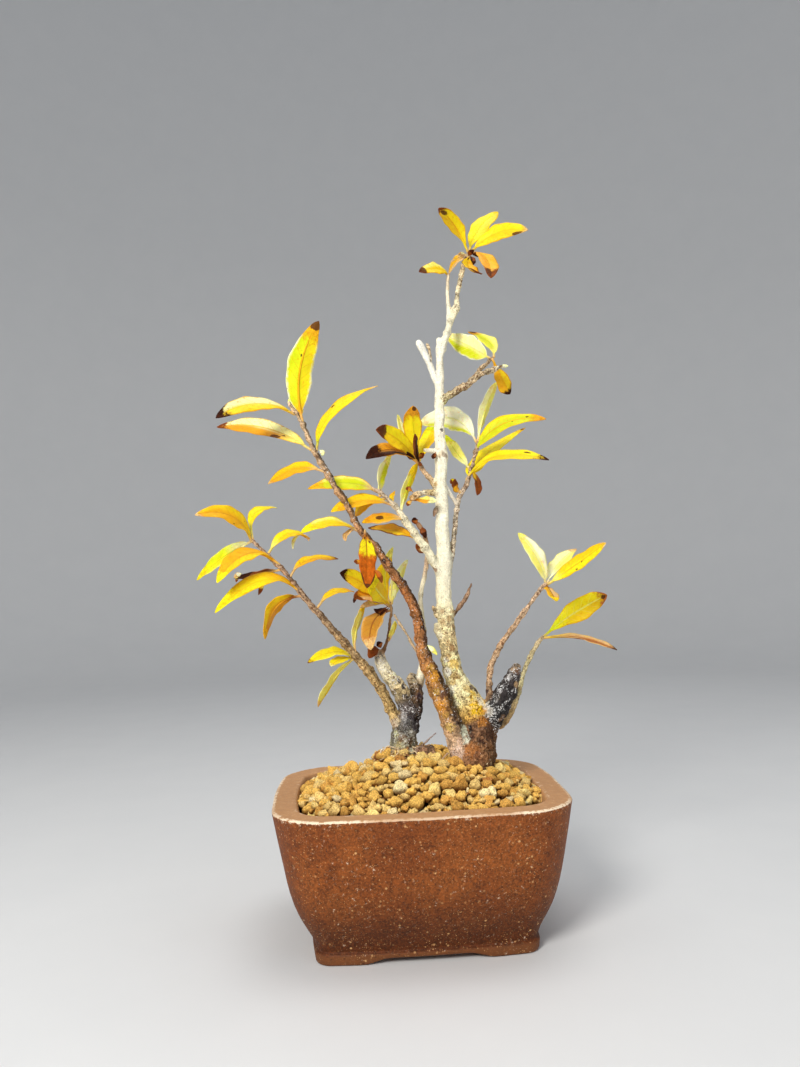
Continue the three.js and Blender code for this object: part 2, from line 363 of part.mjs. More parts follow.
// A round limb through [x, y, z, radius] stations, each cross-section square to the limb.
function limb(stations, grow = 0) {
  const points = stations.map((s) => new THREE.Vector3(s[0], s[1], s[2]));
  const radii = stations.map((s) => s[3] + grow);
  const thickest = Math.max(...stations.map((s) => s[3]));
  const sides = thickest > 3 ? 9 : thickest > 1.4 ? 7 : 5;
  const tangents = points.map((p, i) =>
    new THREE.Vector3().subVectors(points[Math.min(i + 1, points.length - 1)], points[Math.max(i - 1, 0)]).normalize(),
  );
  if (grow) {
    points[0].addScaledVector(tangents[0], -grow);
    points[points.length - 1].addScaledVector(tangents[tangents.length - 1], grow);
  }
  const side = new THREE.Vector3(1, 0, 0);
  if (Math.abs(side.dot(tangents[0])) > 0.9) side.set(0, 1, 0);
  const rings = points.map((p, i) => {
    side.addScaledVector(tangents[i], -side.dot(tangents[i])).normalize();
    const up = new THREE.Vector3().crossVectors(tangents[i], side);
    return Array.from({ length: sides }, (_, k) => {
      const a = (2 * Math.PI * k) / sides;
      return new THREE.Vector3().copy(p).addScaledVector(side, Math.cos(a) * radii[i]).addScaledVector(up, Math.sin(a) * radii[i]);
    });
  });
  return loft(rings);
}

// Share of the full width along a blade: a narrow stalk, then a lance-shaped blade, widest at peak.
function bladeWidth(u, peak) {
  const t = Math.min(1, Math.max(0, (u - 0.06) / 0.94));
  return Math.pow(Math.sin(Math.PI * Math.pow(t, Math.log(0.5) / Math.log(peak))), 0.8);
}

// A leaf along the curve through base, middle and tip, folded along its midrib.
function blade([base, middle, tip, width, across, peak], grow = 0) {
  const b = new THREE.Vector3(...base),
    m = new THREE.Vector3(...middle),
    t = new THREE.Vector3(...tip);
  const control = m.clone().multiplyScalar(2).addScaledVector(b, -0.5).addScaledVector(t, -0.5);
  const curve = new THREE.QuadraticBezierCurve3(b, control, t);
  const stops = [0, 0.1, 0.27, 0.46, 0.66, 0.86, 1];
  const rings = stops.map((u, i) => {
    const p = curve.getPoint(u),
      along = curve.getTangent(u);
    if (i === 0) p.addScaledVector(along, -grow);
    if (i === stops.length - 1) p.addScaledVector(along, grow);
    const side = new THREE.Vector3(...across);
    side.addScaledVector(along, -side.dot(along)).normalize();
    const up = new THREE.Vector3().crossVectors(side, along);
    const half = Math.max(STALK_HALF_WIDTH, (width / 2) * bladeWidth(u, peak)) + grow;
    const lift = BLADE_FOLD * half;
    const edge = EDGE_THICK / 2 + grow,
      rib = BLADE_THICK / 2 + grow;
    return [
      [-half, lift + edge],
      [0, rib],
      [half, lift + edge],
      [half, lift - edge],
      [0, -rib],
      [-half, lift - edge],
    ].map(([s, h]) => p.clone().addScaledVector(side, s).addScaledVector(up, h));
  });
  return loft(rings);
}

// The outline of the pot in plan: a rectangle with rounded corners and sides that bow outwards.
function outline(halfLength, halfDepth, corner, bowX, bowY, z) {
  const points = [];
  const ox = halfLength - corner,
    oy = halfDepth - corner;
  for (const [sx, sy, start] of [
    [1, 1, 0],
    [-1, 1, 1],
    [-1, -1, 2],
    [1, -1, 3],
  ]) {
    for (let k = 0; k <= 3; k++) {
      const a = ((start + k / 3) * Math.PI) / 2;
      points.push([sx * ox + corner * Math.cos(a), sy * oy + corner * Math.sin(a)]);
    }
    const [nx, ny] = [
      [-1, 1],
      [-1, -1],
      [1, -1],
      [1, 1],
    ][start];
    for (const k of [0.25, 0.5, 0.75])
      points.push(
        start % 2 === 0
          ? [sx * ox + (nx * ox - sx * ox) * k, sy * halfDepth]
          : [sx * halfLength, sy * oy + (ny * oy - sy * oy) * k],
      );
  }
  return points.map(([x, y]) => {
    const qx = Math.min(1, Math.abs(x) / halfLength),
      qy = Math.min(1, Math.abs(y) / halfDepth);
    return new THREE.Vector3(x + Math.sign(x) * bowX * (1 - qy * qy) * qx, y + Math.sign(y) * bowY * (1 - qx * qx) * qy, z);
  });
}

// The same outline drawn in by an equal amount all round.
function inset(by, z) {
  const share = 1 - by / RIM_HALF_LENGTH;
  return outline(
    RIM_HALF_LENGTH - by,
    RIM_HALF_DEPTH - by,
    Math.max(4, RIM_CORNER - 0.95 * by),
    BOW_X * share,
    BOW_Y * share,
    z,
  );
}

function extrudeThrough(shape, length) {
  return new THREE.ExtrudeGeometry(shape, { depth: length, bevelEnabled: false, curveSegments: 7 }).translate(0, 0, -length / 2);
}

function makePot() {
  const outer = [
    [14.9, 0],
    [14.4, 4.2],
    [15.4, 5],
    [14, 9.5],
    [10.4, 16],
    [6, 28],
    [2.6, 45],
    [0, 59.8],
    [0.7, POT_HEIGHT],
  ].map(([by, z]) => inset(by, z));
  const inner = [
    [22.5, FLOOR_TOP],
    [19, 16],
    [15, 30],
    [10.2, 59.8],
    [9.3, POT_HEIGHT + 0.4],
  ].map(([by, z]) => inset(by, z));
  let pot = solid(loft(outer)).subtract(solid(loft(inner)));
  pot = pot.subtract(solid(loft([inset(14.7 + FOOT_INSET, -1), inset(14.9 + FOOT_INSET, FLOOR_UNDER)])));
  pot = pot.subtract(
    solid(new THREE.CylinderGeometry(DRAIN_RADIUS, DRAIN_RADIUS, 20, 20).rotateX(Math.PI / 2).translate(0, 0, 8)),
  );
  const arch = (length) => {
    const shape = new THREE.Shape().moveTo(-length / 2, -1).lineTo(-length / 2, 0);
    shape.bezierCurveTo(-length * 0.38, ARCH_RISE * 1.15, -length * 0.3, ARCH_RISE, 0, ARCH_RISE);
    shape.bezierCurveTo(length * 0.3, ARCH_RISE, length * 0.38, ARCH_RISE * 1.15, length / 2, 0);
    return shape.lineTo(length / 2, -1).closePath();
  };
  pot = pot.subtract(solid(extrudeThrough(arch(ARCH_LONG), 140).rotateX(Math.PI / 2)));
  return pot.subtract(solid(extrudeThrough(arch(ARCH_SHORT), 160).rotateX(Math.PI / 2).rotateZ(Math.PI / 2)));
}

function makeDrainMesh() {
  const middle = FLOOR_TOP + GAP + MESH_THICK / 2;
  let mesh = solid(new THREE.BoxGeometry(MESH_SIDE, MESH_SIDE, MESH_THICK).translate(0, 0, middle));
  for (let i = -2; i <= 2; i++)
    for (let j = -2; j <= 2; j++)
      mesh = mesh.subtract(
        solid(new THREE.BoxGeometry(MESH_HOLE, MESH_HOLE, 2 * MESH_THICK).translate(i * MESH_PITCH, j * MESH_PITCH, middle)),
      );
  return mesh;
}

// The clip goes over the mesh, down through two of its openings and out under the floor.
function makeClip(grow = 0) {
  const top = FLOOR_TOP + GAP + MESH_THICK + GAP + WIRE_RADIUS,
    under = FLOOR_UNDER - GAP - WIRE_RADIUS,
    x = MESH_PITCH,
    r = WIRE_RADIUS;
  return solid(
    limb(
      [
        [-18, 0, under, r],
        [-x - 1.2, 0, under, r],
        [-x, 0, under + 1.2, r],
        [-x, 0, top - 1.2, r],
        [-x + 1.2, 0, top, r],
        [x - 1.2, 0, top, r],
        [x, 0, top - 1.2, r],
        [x, 0, under + 1.2, r],
        [x + 1.2, 0, under, r],
        [18, 0, under, r],
      ],
      grow,
    ),
  );
}

// The mound lies lower to the left of the left stem.
const hollow = (x) => {
  const t = Math.min(1, Math.max(0, (-14 - x) / 10));
  return t * t * (3 - 2 * t);
};

// The mound of grains: a plug that fills the pot, with a domed top.
function makeSoil() {
  const wall = [
    [22.8, FLOOR_TOP + GAP],
    [19.4, 16.2],
    [15.4, 30],
    [10.7, SOIL_EDGE],
  ].map(([by, z]) => inset(by, z));
  const edge = wall[wall.length - 1];
  const dome = [0.93, 0.82, 0.66, 0.46, 0.24].map((k) =>
    edge.map(
      (p) =>
        new THREE.Vector3(
          p.x * k + SOIL_PEAK[0] * (1 - k),
          p.y * k + SOIL_PEAK[1] * (1 - k),
          SOIL_EDGE + SOIL_RISE * (1 - Math.pow(k, 2.6)) * (1 - 0.45 * hollow(p.x * k + SOIL_PEAK[0] * (1 - k))),
        ),
    ),
  );
  return solid(loft([...wall, ...dome]));
}

const join = (pieces) => pieces.reduce((all, piece) => all.add(piece));
const clump = (limbs, scales, grow = 0) => join([...limbs.map((l) => solid(limb(l, grow))), ...scales.map((s) => solid(blade(s, grow)))]);

// The largest body of a cut piece.
const largest = (manifold) => manifold.decompose().reduce((a, b) => (b.volume() > a.volume() ? b : a));

const bonsai = new THREE.Group();
const add = (name, manifold, color, roughness, metalness = 0) => {
  const mesh = new THREE.Mesh(geometryOf(manifold), new THREE.MeshStandardMaterial({ color, roughness, metalness }));
  mesh.name = name;
  bonsai.add(mesh);
};

const leftGrown = clump(LEFT_LIMBS, LEFT_SCALES, GAP);
const rightGrown = clump(RIGHT_LIMBS, RIGHT_SCALES, GAP);
const left = clump(LEFT_LIMBS, LEFT_SCALES).subtract(rightGrown);
const right = clump(RIGHT_LIMBS, RIGHT_SCALES);
const stump = join(STUMP.map((l) => solid(limb(l)))).subtract(leftGrown).subtract(rightGrown);
const stumpGrown = join(STUMP.map((l) => solid(limb(l, GAP))));

add("pot", makePot(), 0x6b3a22, 0.72);
add("drain_mesh", makeDrainMesh(), 0x2a2d2b, 0.6);
add("drain_mesh_clip", makeClip(), 0x9c8f7c, 0.35, 1);
const pocket = solid(new THREE.BoxGeometry(MESH_SIDE + 0.8, MESH_SIDE + 0.8, 6).translate(0, 0, FLOOR_TOP + GAP + MESH_THICK + GAP - 3));
add(
  "akadama_soil",
  makeSoil().subtract(leftGrown).subtract(rightGrown).subtract(stumpGrown).subtract(pocket).subtract(makeClip(GAP)),
  0xcf9a4a,
  0.95,
);
add("left_clump", largest(left), 0xa98a5c, 0.85);
add("right_clump", right, 0xd8c69a, 0.8);
add("dead_stump", largest(stump), 0x4a3526, 0.9);

// Each leaf is cleared of the limbs and of the leaves placed before it.
const placed = [];
const boxesMeet = (a, b) => a.min.every((v, i) => v < b.max[i] && b.min[i] < a.max[i]);
const order = [...LEAVES].sort((a, b) => b[2] - a[2]);
for (const [name, colour, sheath, blades] of order) {
  const whole = (grow) => {
    const pieces = blades.map((b) => solid(blade(b, grow)));
    if (sheath > 0) pieces.unshift(solid(new THREE.IcosahedronGeometry(1.12 * (sheath + grow), 0).translate(...blades[0][0])));
    return join(pieces);
  };
  let leaf = whole(0);
  leaf = leaf.subtract(leftGrown).subtract(rightGrown);
  const box = leaf.boundingBox();
  for (const other of placed) if (boxesMeet(box, other.box)) leaf = leaf.subtract(other.grown);
  leaf = largest(leaf);
  const grown = whole(GAP);
  placed.push({ grown, box: grown.boundingBox() });
  add(name, leaf, COLOURS[colour], 0.55);
}

export default bonsai;
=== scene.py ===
import math

import bpy
import numpy as np
from mathutils import Matrix, Vector, noise


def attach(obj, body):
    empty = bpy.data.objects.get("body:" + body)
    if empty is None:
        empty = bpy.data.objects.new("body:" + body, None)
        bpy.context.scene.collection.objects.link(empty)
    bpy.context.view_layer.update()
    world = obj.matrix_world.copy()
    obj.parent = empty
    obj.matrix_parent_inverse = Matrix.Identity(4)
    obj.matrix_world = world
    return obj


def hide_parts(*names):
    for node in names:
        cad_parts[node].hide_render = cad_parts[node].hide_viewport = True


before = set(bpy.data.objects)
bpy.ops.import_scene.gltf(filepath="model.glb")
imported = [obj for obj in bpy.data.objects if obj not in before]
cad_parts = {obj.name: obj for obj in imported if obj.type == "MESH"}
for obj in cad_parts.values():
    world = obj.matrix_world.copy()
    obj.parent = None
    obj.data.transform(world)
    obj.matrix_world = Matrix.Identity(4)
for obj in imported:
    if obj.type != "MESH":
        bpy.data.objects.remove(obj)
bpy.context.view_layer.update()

MM = 0.001

# Leaves: node, base, middle and tip in mm, full width, width direction, side of the fold, where it is widest, then its colours:
# first half, other half, base and its share, tip and where it starts, where the halves meet, edge and its strength, rib, and dark spots.
# The two halves' colours carry painted light and shade of the fold as well as the leaf's own colour: the lit half
# paler, the other more golden.
LEAVES = {
    'T1': ('leaf_crown_1', (33.6, 2.0, 309.0), (26.8, -5.0, 318.2), (18.4, -14.0, 322.6), 8.5, (-0.70, 0.71, 0.06), 1, 0.55, ('yellow', 'bright', 'bright', 0.22, 'brown', 0.9, 0.1, 'gold', 0.35, 'gold'), [(0.86, 0.1, 0.07, 0.5)]),
    'T2': ('leaf_crown_2', (34.1, 2.0, 309.5), (40.9, 8.0, 322.9), (52.1, 18.0, 335.6), 9.0, (-0.86, 0.33, 0.39), -1, 0.50, ('bright', 'yellow', 'bright', 0.35, 'yellow', 0.95, -0.1, 'yellow', 0.3, 'yellow'), [(0.5, 0.5, 0.012, 0.08)]),
    'T3': ('leaf_crown_3', (35.4, 2.0, 309.2), (47.2, -4.0, 315.1), (59.6, -12.0, 312.9), 8.0, (-0.10, 0.09, 0.99), -1, 0.45, ('bright', 'yellow', 'bright', 0.3, 'tan', 0.94, 0, 'gold', 0.3, 'yellow'), [(0.84, -0.75, 0.09, 0.3)]),
    'T4': ('leaf_crown_4', (35.4, 2.0, 308.8), (40.9, -7.0, 301.4), (39.9, -20.0, 287.3), 9.0, (-0.98, -0.21, 0.01), 1, 0.50, ('orange', 'gold', 'orange', 0.2, 'brown', 0.84, 0, 'orange', 0.4, 'gold'), [(0.9, 0.4, 0.08, 0.5)]),
    'T5': ('leaf_crown_curled_pair', (34.2, 1.4, 306.5), (32.1, -8.0, 296.8), (36.2, -18.0, 290.0), 8.0, (-0.92, -0.31, 0.25), 1, 0.50, ('yellow', 'gold', 'yellow', 0.2, 'brown', 0.8, 0, 'brown', 0.4, 'gold'), []),
    'T6': ('leaf_crown_curled_pair', (33.5, 2.0, 306.1), (28.1, 9.0, 306.0), (25.9, 16.0, 301.8), 7.0, (-0.13, -0.35, -0.93), -1, 0.50, ('tan', 'gold', 'tan', 0.3, 'tan', 0.9, 0, 'tan', 0.5, 'gold'), []),
    'T8': ('leaf_crown_side', (23.8, 4.0, 298.7), (18.1, 0.0, 299.6), (9.0, -6.0, 295.9), 7.0, (-0.37, 0.30, 0.88), 1, 0.50, ('pale', 'yellow', 'yellow', 0.2, 'brown', 0.9, 0.35, 'gold', 0.25, 'yellow'), [(0.93, 0, 0.1, 0.9)]),
    'U1': ('leaf_spur_1', (40.7, -2.0, 255.9), (33.3, 6.0, 263.6), (23.5, 14.0, 271.6), 10.5, (0.46, -0.32, 0.83), 1, 0.45, ('cream', 'green', 'pale', 0.2, 'cream', 0.95, -0.15, 'white', 0.3, 'pale'), []),
    'U2': ('leaf_spur_2', (43.1, -2.0, 256.8), (42.8, 10.0, 267.6), (34.9, 20.0, 275.4), 8.0, (0.96, 0.23, 0.16), 1, 0.50, ('pale', 'green', 'pale', 0.2, 'orange', 0.82, 0.35, 'pale', 0.3, 'green'), [(0.93, 0.3, 0.06, 0.5)]),
    'U3': ('leaf_spur_3', (42.0, -2.6, 254.9), (46.4, 0.0, 247.3), (51.2, 4.0, 240.0), 8.5, (-0.72, -0.35, -0.60), -1, 0.60, ('gold', 'yellow', 'gold', 0.3, 'dark', 0.88, 0, 'orange', 0.5, 'gold'), []),
    'U4': ('leaf_lateral_1', (35.5, 9.0, 219.4), (39.9, 10.0, 233.9), (46.3, 10.0, 247.4), 7.0, (-0.69, -0.66, 0.29), 1, 0.50, ('cream', 'pale', 'cream', 0.2, 'pale', 0.9, 0, 'white', 0.3, 'pale'), []),
    'U5': ('leaf_lateral_2', (34.8, 9.0, 218.8), (25.2, 13.0, 230.5), (8.8, 15.0, 228.8), 11.0, (0.30, -0.23, 0.92), -1, 0.50, ('white', 'green', 'white', 0.1, 'cream', 0.95, -0.55, 'white', 0.2, 'cream'), []),
    'U6': ('leaf_lateral_3', (34.1, 9.0, 214.0), (47.2, 4.0, 225.7), (66.9, 0.0, 226.8), 8.5, (-0.18, 0.52, 0.83), -1, 0.40, ('bright', 'green', 'green', 0.2, 'orange', 0.88, 0.5, 'yellow', 0.3, 'gold'), [(0.8, 0.3, 0.02, 0.16), (0.62, -0.2, 0.012, 0.1)]),
    'U7': ('leaf_lateral_pair_upper', (29.6, 8.0, 201.0), (41.6, 16.0, 214.0), (62.6, 26.0, 227.8), 8.5, (-0.67, 0.60, 0.42), -1, 0.30, ('bright', 'bright', 'bright', 0.3, 'gold', 0.95, 0, 'yellow', 0.2, 'yellow'), [(0.97, 0, 0.02, 0.8)]),
    'U8': ('leaf_lateral_pair_upper', (29.6, 8.0, 201.5), (43.4, 0.0, 209.9), (63.8, -14.0, 205.2), 8.0, (0.34, 0.65, 0.68), -1, 0.55, ('bright', 'yellow', 'bright', 0.3, 'dark', 0.93, 0.1, 'yellow', 0.25, 'yellow'), [(0.8, 0.5, 0.04, 0.15)]),
    'U9': ('leaf_lateral_pair_lower', (31.2, 9.0, 205.8), (33.8, 5.0, 199.0), (32.7, 0.0, 191.8), 5.0, (-0.77, -0.57, 0.28), 1, 0.50, ('yellow', 'brown', 'yellow', 0.25, 'brown', 0.45, 0, 'brown', 0.5, 'orange'), []),
    'U10': ('leaf_lateral_pair_lower', (31.3, 9.0, 206.1), (25.5, 13.0, 214.4), (21.6, 18.0, 223.7), 7.0, (-0.87, -0.43, -0.26), -1, 0.50, ('pale', 'pale', 'cream', 0.25, 'green', 0.8, 0, 'cream', 0.3, 'green'), []),
    'U11': ('right_clump', (25.7, 6.0, 193.7), (23.6, 4.0, 196.3), (23.0, 2.0, 199.9), 4.5, (-0.67, -0.46, -0.58), 1, 0.50, ('gold', 'orange', 'tan', 0.2, 'brown', 0.6, 0, 'brown', 0.3, 'orange'), []),
    'V1': ('leaf_star_pair_upright', (6.3, 4.0, 208.9), (3.8, -2.0, 221.7), (3.5, -10.0, 232.1), 9.0, (-0.98, -0.09, -0.17), 1, 0.60, ('bright', 'bright', 'yellow', 0.2, 'orange', 0.8, -0.1, 'orange', 0.5, 'bright'), [(0.95, -0.3, 0.05, 0.6)]),
    'V2': ('leaf_star_2', (6.3, 3.7, 208.8), (-3.5, -5.0, 217.6), (-13.8, -14.0, 220.7), 9.5, (0.28, 0.30, 0.91), 1, 0.50, ('bright', 'yellow', 'yellow', 0.3, 'brown', 0.84, -0.1, 'gold', 0.4, 'gold'), [(0.88, 0.1, 0.1, 0.9)]),
    'V3': ('leaf_star_pair_dry', (6.1, 3.5, 208.5), (-6.3, -4.0, 213.2), (-18.6, -12.0, 208.1), 8.5, (-0.34, 0.52, 0.78), 1, 0.50, ('orange', 'dark', 'orange', 0.25, 'dark', 0.72, -0.25, 'orange', 0.3, 'brown'), []),
    'V4': ('leaf_star_pair_dry', (6.2, 3.3, 208.2), (4.6, -6.0, 213.5), (3.6, -14.0, 218.5), 5.0, (-0.53, -0.37, -0.76), 1, 0.50, ('brown', 'dark', 'dark', 0.4, 'brown', 0.8, 0, 'orange', 0.4, 'dark'), []),
    'V5': ('leaf_star_4', (6.6, 4.0, 208.9), (11.4, 10.0, 219.5), (18.0, 18.0, 230.7), 9.0, (-0.84, 0.53, 0.09), -1, 0.50, ('bright', 'yellow', 'bright', 0.2, 'green', 0.75, 0, 'gold', 0.3, 'yellow'), []),
    'V6': ('leaf_star_pair_upright', (6.2, 4.0, 208.8), (0.7, 12.0, 223.0), (-1.3, 20.0, 234.5), 6.0, (-0.70, -0.68, 0.22), -1, 0.60, ('pale', 'cream', 'yellow', 0.3, 'pale', 0.9, 0, 'cream', 0.3, 'pale'), []),
    'V7': ('leaf_inner_1', (-3.7, -4.0, 184.1), (0.3, 0.0, 196.0), (6.1, 4.0, 208.1), 7.0, (-0.48, -0.75, 0.45), 1, 0.50, ('pale', 'bright', 'cream', 0.25, 'yellow', 0.75, 0.2, 'cream', 0.4, 'green'), []),
    'V8': ('leaf_inner_2', (-12.3, -4.0, 192.4), (-11.6, 0.0, 202.4), (-6.3, 6.0, 212.5), 7.0, (-0.47, -0.72, 0.50), -1, 0.50, ('cream', 'green', 'cream', 0.25, 'pale', 0.8, 0.1, 'cream', 0.5, 'pale'), []),
    'V9': ('right_clump', (2.5, -4.0, 190.4), (7.2, -7.0, 189.4), (13.0, -8.0, 188.7), 5.0, (0.35, 0.64, 0.68), -1, 0.60, ('pale', 'orange', 'brown', 0.3, 'cream', 0.7, 0.2, 'orange', 0.4, 'orange'), []),
    'X1': ('leaf_inner_3', (-13.8, -4.0, 194.5), (-28.3, -7.0, 198.2), (-44.9, -8.0, 195.8), 8.5, (-0.04, 0.56, 0.83), 1, 0.45, ('pale', 'green', 'tan', 0.18, 'gold', 0.84, 0.55, 'gold', 0.5, 'green'), []),
    'X2': ('leaf_inner_pair', (-7.6, -4.0, 188.4), (-20.4, -8.0, 189.7), (-34.9, -9.0, 185.0), 8.5, (-0.21, 0.69, 0.69), 1, 0.50, ('yellow', 'gold', 'tan', 0.15, 'yellow', 0.9, 0.1, 'gold', 0.3, 'gold'), [(0.45, 0.6, 0.012, 0.1)]),
    'X2b': ('leaf_inner_5', (-10.3, -4.0, 191.2), (-20.8, -1.0, 187.7), (-23.7, 4.0, 182.7), 7.0, (-0.12, 0.63, 0.77), 1, 0.50, ('yellow', 'gold', 'yellow', 0.15, 'gold', 0.8, 0, 'gold', 0.3, 'gold'), []),
    'X3': ('leaf_inner_pair', (-6.3, -4.0, 188.3), (-7.0, -2.0, 191.3), (-5.3, 0.0, 194.7), 4.5, (-0.62, 0.70, -0.35), -1, 0.50, ('bright', 'yellow', 'gold', 0.15, 'gold', 0.7, 0, 'gold', 0.5, 'gold'), []),
    'X4': ('leaf_inner_6', (-1.9, -4.0, 181.3), (-10.7, -7.0, 181.8), (-21.2, -10.0, 179.6), 7.5, (-0.28, 0.71, 0.65), 1, 0.50, ('orange', 'gold', 'tan', 0.25, 'gold', 0.9, 0.3, 'tan', 0.4, 'gold'), [(0.62, 0.1, 0.09, 0.35)]),
    'X5': ('leaf_inner_7', (2.4, -3.0, 173.0), (-7.4, 0.0, 176.8), (-18.2, 4.0, 178.3), 8.0, (0.39, 0.73, 0.57), 1, 0.40, ('gold', 'yellow', 'gold', 0.2, 'brown', 0.93, -0.2, 'brown', 0.5, 'gold'), [(0.9, 0.9, 0.08, 0.4)]),
    'X6': ('leaf_brown_trunk_pair', (-23.2, -14.0, 176.2), (-34.9, -19.0, 179.2), (-47.7, -24.0, 174.9), 8.0, (-0.34, 0.76, 0.55), 1, 0.50, ('pale', 'yellow', 'tan', 0.12, 'bright', 0.8, 0.45, 'gold', 0.3, 'yellow'), []),
    'X7': ('leaf_left_end_4', (-63.1, -12.0, 167.3), (-54.4, -7.0, 175.9), (-44.9, -2.0, 173.6), 7.0, (-0.54, 0.67, 0.50), -1, 0.50, ('bright', 'yellow', 'pale', 0.2, 'gold', 0.85, 0, 'gold', 0.3, 'yellow'), []),
    'X8': ('leaf_brown_trunk_pair', (-24.5, -14.4, 177.3), (-28.1, -16.0, 174.4), (-28.6, -17.0, 171.3), 4.0, (-0.64, 0.77, 0.10), 1, 0.50, ('tan', 'tan', 'tan', 0.2, 'tan', 0.8, 0, 'tan', 0.4, 'brown'), []),
    'X9': ('leaf_brown_trunk_hanging', (-20.1, -14.7, 175.7), (-19.8, -21.0, 163.8), (-20.3, -25.0, 150.4), 9.0, (-0.88, -0.44, 0.19), 1, 0.50, ('bright', 'bright', 'umber', 0.2, 'dorange', 0.48, 0, 'brown', 0.1, 'dorange'), [(0.97, 0.0, 0.04, 1.2), (0.88, 0.95, 0.1, 0.22), (0.88, -0.95, 0.1, 0.22), (0.16, 0.5, 0.03, 0.2), (0.08, -0.4, 0.05, 0.3), (0.22, -0.6, 0.03, 0.2)]),
    'Y1': ('leaf_tuft_pair', (-9.3, 12.0, 143.2), (-20.9, 4.0, 152.4), (-31.8, -5.0, 157.7), 9.5, (0.21, 0.46, 0.86), 1, 0.50, ('bright', 'yellow', 'bright', 0.3, 'dark', 0.88, 0.1, 'orange', 0.4, 'gold'), []),
    'Y2': ('leaf_tan_branch_1', (-42.4, -8.2, 142.8), (-34.7, -3.0, 149.2), (-25.6, 4.0, 148.9), 7.0, (-0.63, 0.73, 0.26), -1, 0.60, ('yellow', 'yellow', 'tan', 0.2, 'gold', 0.8, 0, 'gold', 0.4, 'yellow'), []),
    'Y3': ('leaf_tuft_2', (-9.2, 12.0, 144.1), (-10.5, 15.0, 157.0), (-6.1, 18.0, 169.8), 7.0, (-0.62, -0.74, 0.25), -1, 0.50, ('bright', 'yellow', 'gold', 0.2, 'pale', 0.8, 0, 'gold', 0.2, 'pale'), []),
    'Y4': ('leaf_tuft_3', (-8.3, 12.0, 143.1), (-4.8, 18.0, 153.0), (1.3, 24.0, 163.6), 8.0, (-0.43, -0.67, 0.60), 1, 0.50, ('cream', 'pale', 'pale', 0.2, 'cream', 0.9, 0, 'cream', 0.3, 'pale'), []),
    'Y5': ('leaf_tuft_4', (-9.3, 12.0, 142.8), (-14.2, 2.0, 148.1), (-18.4, -6.0, 154.5), 10.0, (-0.50, -0.28, -0.82), 1, 0.50, ('bright', 'yellow', 'yellow', 0.3, 'bright', 0.7, 0.1, 'gold', 0.2, 'pale'), []),
    'Y6': ('leaf_tuft_pair', (-9.2, 11.7, 142.0), (-18.3, 4.0, 146.4), (-25.8, -3.0, 146.2), 8.0, (-0.33, 0.59, 0.74), 1, 0.50, ('orange', 'tan', 'tan', 0.3, 'brown', 0.82, 0, 'brown', 0.3, 'gold'), []),
    'Y7': ('leaf_tan_branch_2', (-26.5, -3.0, 122.0), (-25.3, 3.0, 132.0), (-20.7, 10.0, 142.2), 7.0, (-0.33, -0.75, 0.58), 1, 0.50, ('pale', 'pale', 'tan', 0.12, 'yellow', 0.85, 0, 'cream', 0.3, 'pale'), []),
    'Y8': ('leaf_tuft_hanging', (-9.1, 12.0, 140.0), (-17.4, 4.0, 134.4), (-18.9, -4.0, 122.7), 10.0, (-0.88, 0.47, 0.06), 1, 0.50, ('ochre', 'ochre', 'brown', 0.22, 'tan', 0.82, 0.25, 'tan', 0.45, 'umber'), []),
    'Y9': ('left_clump', (-10.3, 10.9, 126.1), (-8.1, 7.0, 130.2), (-7.2, 4.0, 134.9), 4.0, (-0.76, -0.61, -0.21), 1, 0.50, ('pale', 'yellow', 'tan', 0.2, 'pale', 0.9, 0, 'pale', 0.3, 'pale'), []),
    'Z1': ('leaf_tan_branch_tuft', (-27.5, -3.0, 120.2), (-35.9, -9.0, 122.8), (-46.7, -16.0, 119.0), 7.5, (-0.51, 0.71, 0.49), 1, 0.45, ('bright', 'bright', 'pale', 0.15, 'brown', 0.96, 0, 'pale', 0.3, 'yellow'), []),
    'Z1b': ('leaf_tan_branch_tuft', (-28.1, -2.9, 119.7), (-32.9, -10.0, 119.2), (-36.7, -18.0, 117.5), 6.0, (-0.85, 0.45, 0.26), 1, 0.50, ('bright', 'bright', 'bright', 0.15, 'pale', 0.9, 0, 'pale', 0.3, 'yellow'), []),
    'Z2': ('leaf_tan_branch_tuft', (-27.5, -2.8, 119.0), (-36.4, -1.0, 109.7), (-43.5, 2.0, 97.6), 7.0, (-0.49, -0.86, 0.17), -1, 0.50, ('pale', 'bright', 'pale', 0.15, 'tan', 0.93, -0.3, 'cream', 0.4, 'pale'), []),
    'La': ('leaf_left_end_pair', (-69.9, -12.0, 173.3), (-77.7, -20.0, 183.4), (-91.2, -30.0, 183.3), 9.0, (-0.06, 0.53, 0.84), 1, 0.40, ('yellow', 'gold', 'yellow', 0.25, 'tan', 0.955, 0.35, 'gold', 0.4, 'orange'), [(0.45, -0.8, 0.02, 0.1)]),
    'Lb': ('leaf_left_end_pair', (-69.9, -12.0, 173.9), (-69.2, -4.0, 185.6), (-59.9, 4.0, 188.8), 7.5, (-0.88, 0.46, 0.10), -1, 0.65, ('bright', 'bright', 'pale', 0.2, 'pale', 0.93, 0, 'gold', 0.3, 'yellow'), []),
    'Lc': ('leaf_left_end_2', (-70.3, -12.0, 172.9), (-83.5, -3.0, 166.7), (-97.3, 6.0, 156.9), 9.0, (-0.10, 0.58, 0.81), 1, 0.50, ('lime', 'bright', 'cream', 0.34, 'bright', 0.86, 0.2, 'pale', 0.3, 'green'), []),
    'Ld': ('leaf_left_end_3', (-58.4, -12.0, 162.8), (-71.3, -20.0, 166.8), (-82.7, -30.0, 154.7), 9.5, (-0.62, 0.61, 0.49), 1, 0.50, ('gold', 'yellow', 'gold', 0.2, 'bright', 0.88, -0.1, 'gold', 0.3, 'orange'), []),
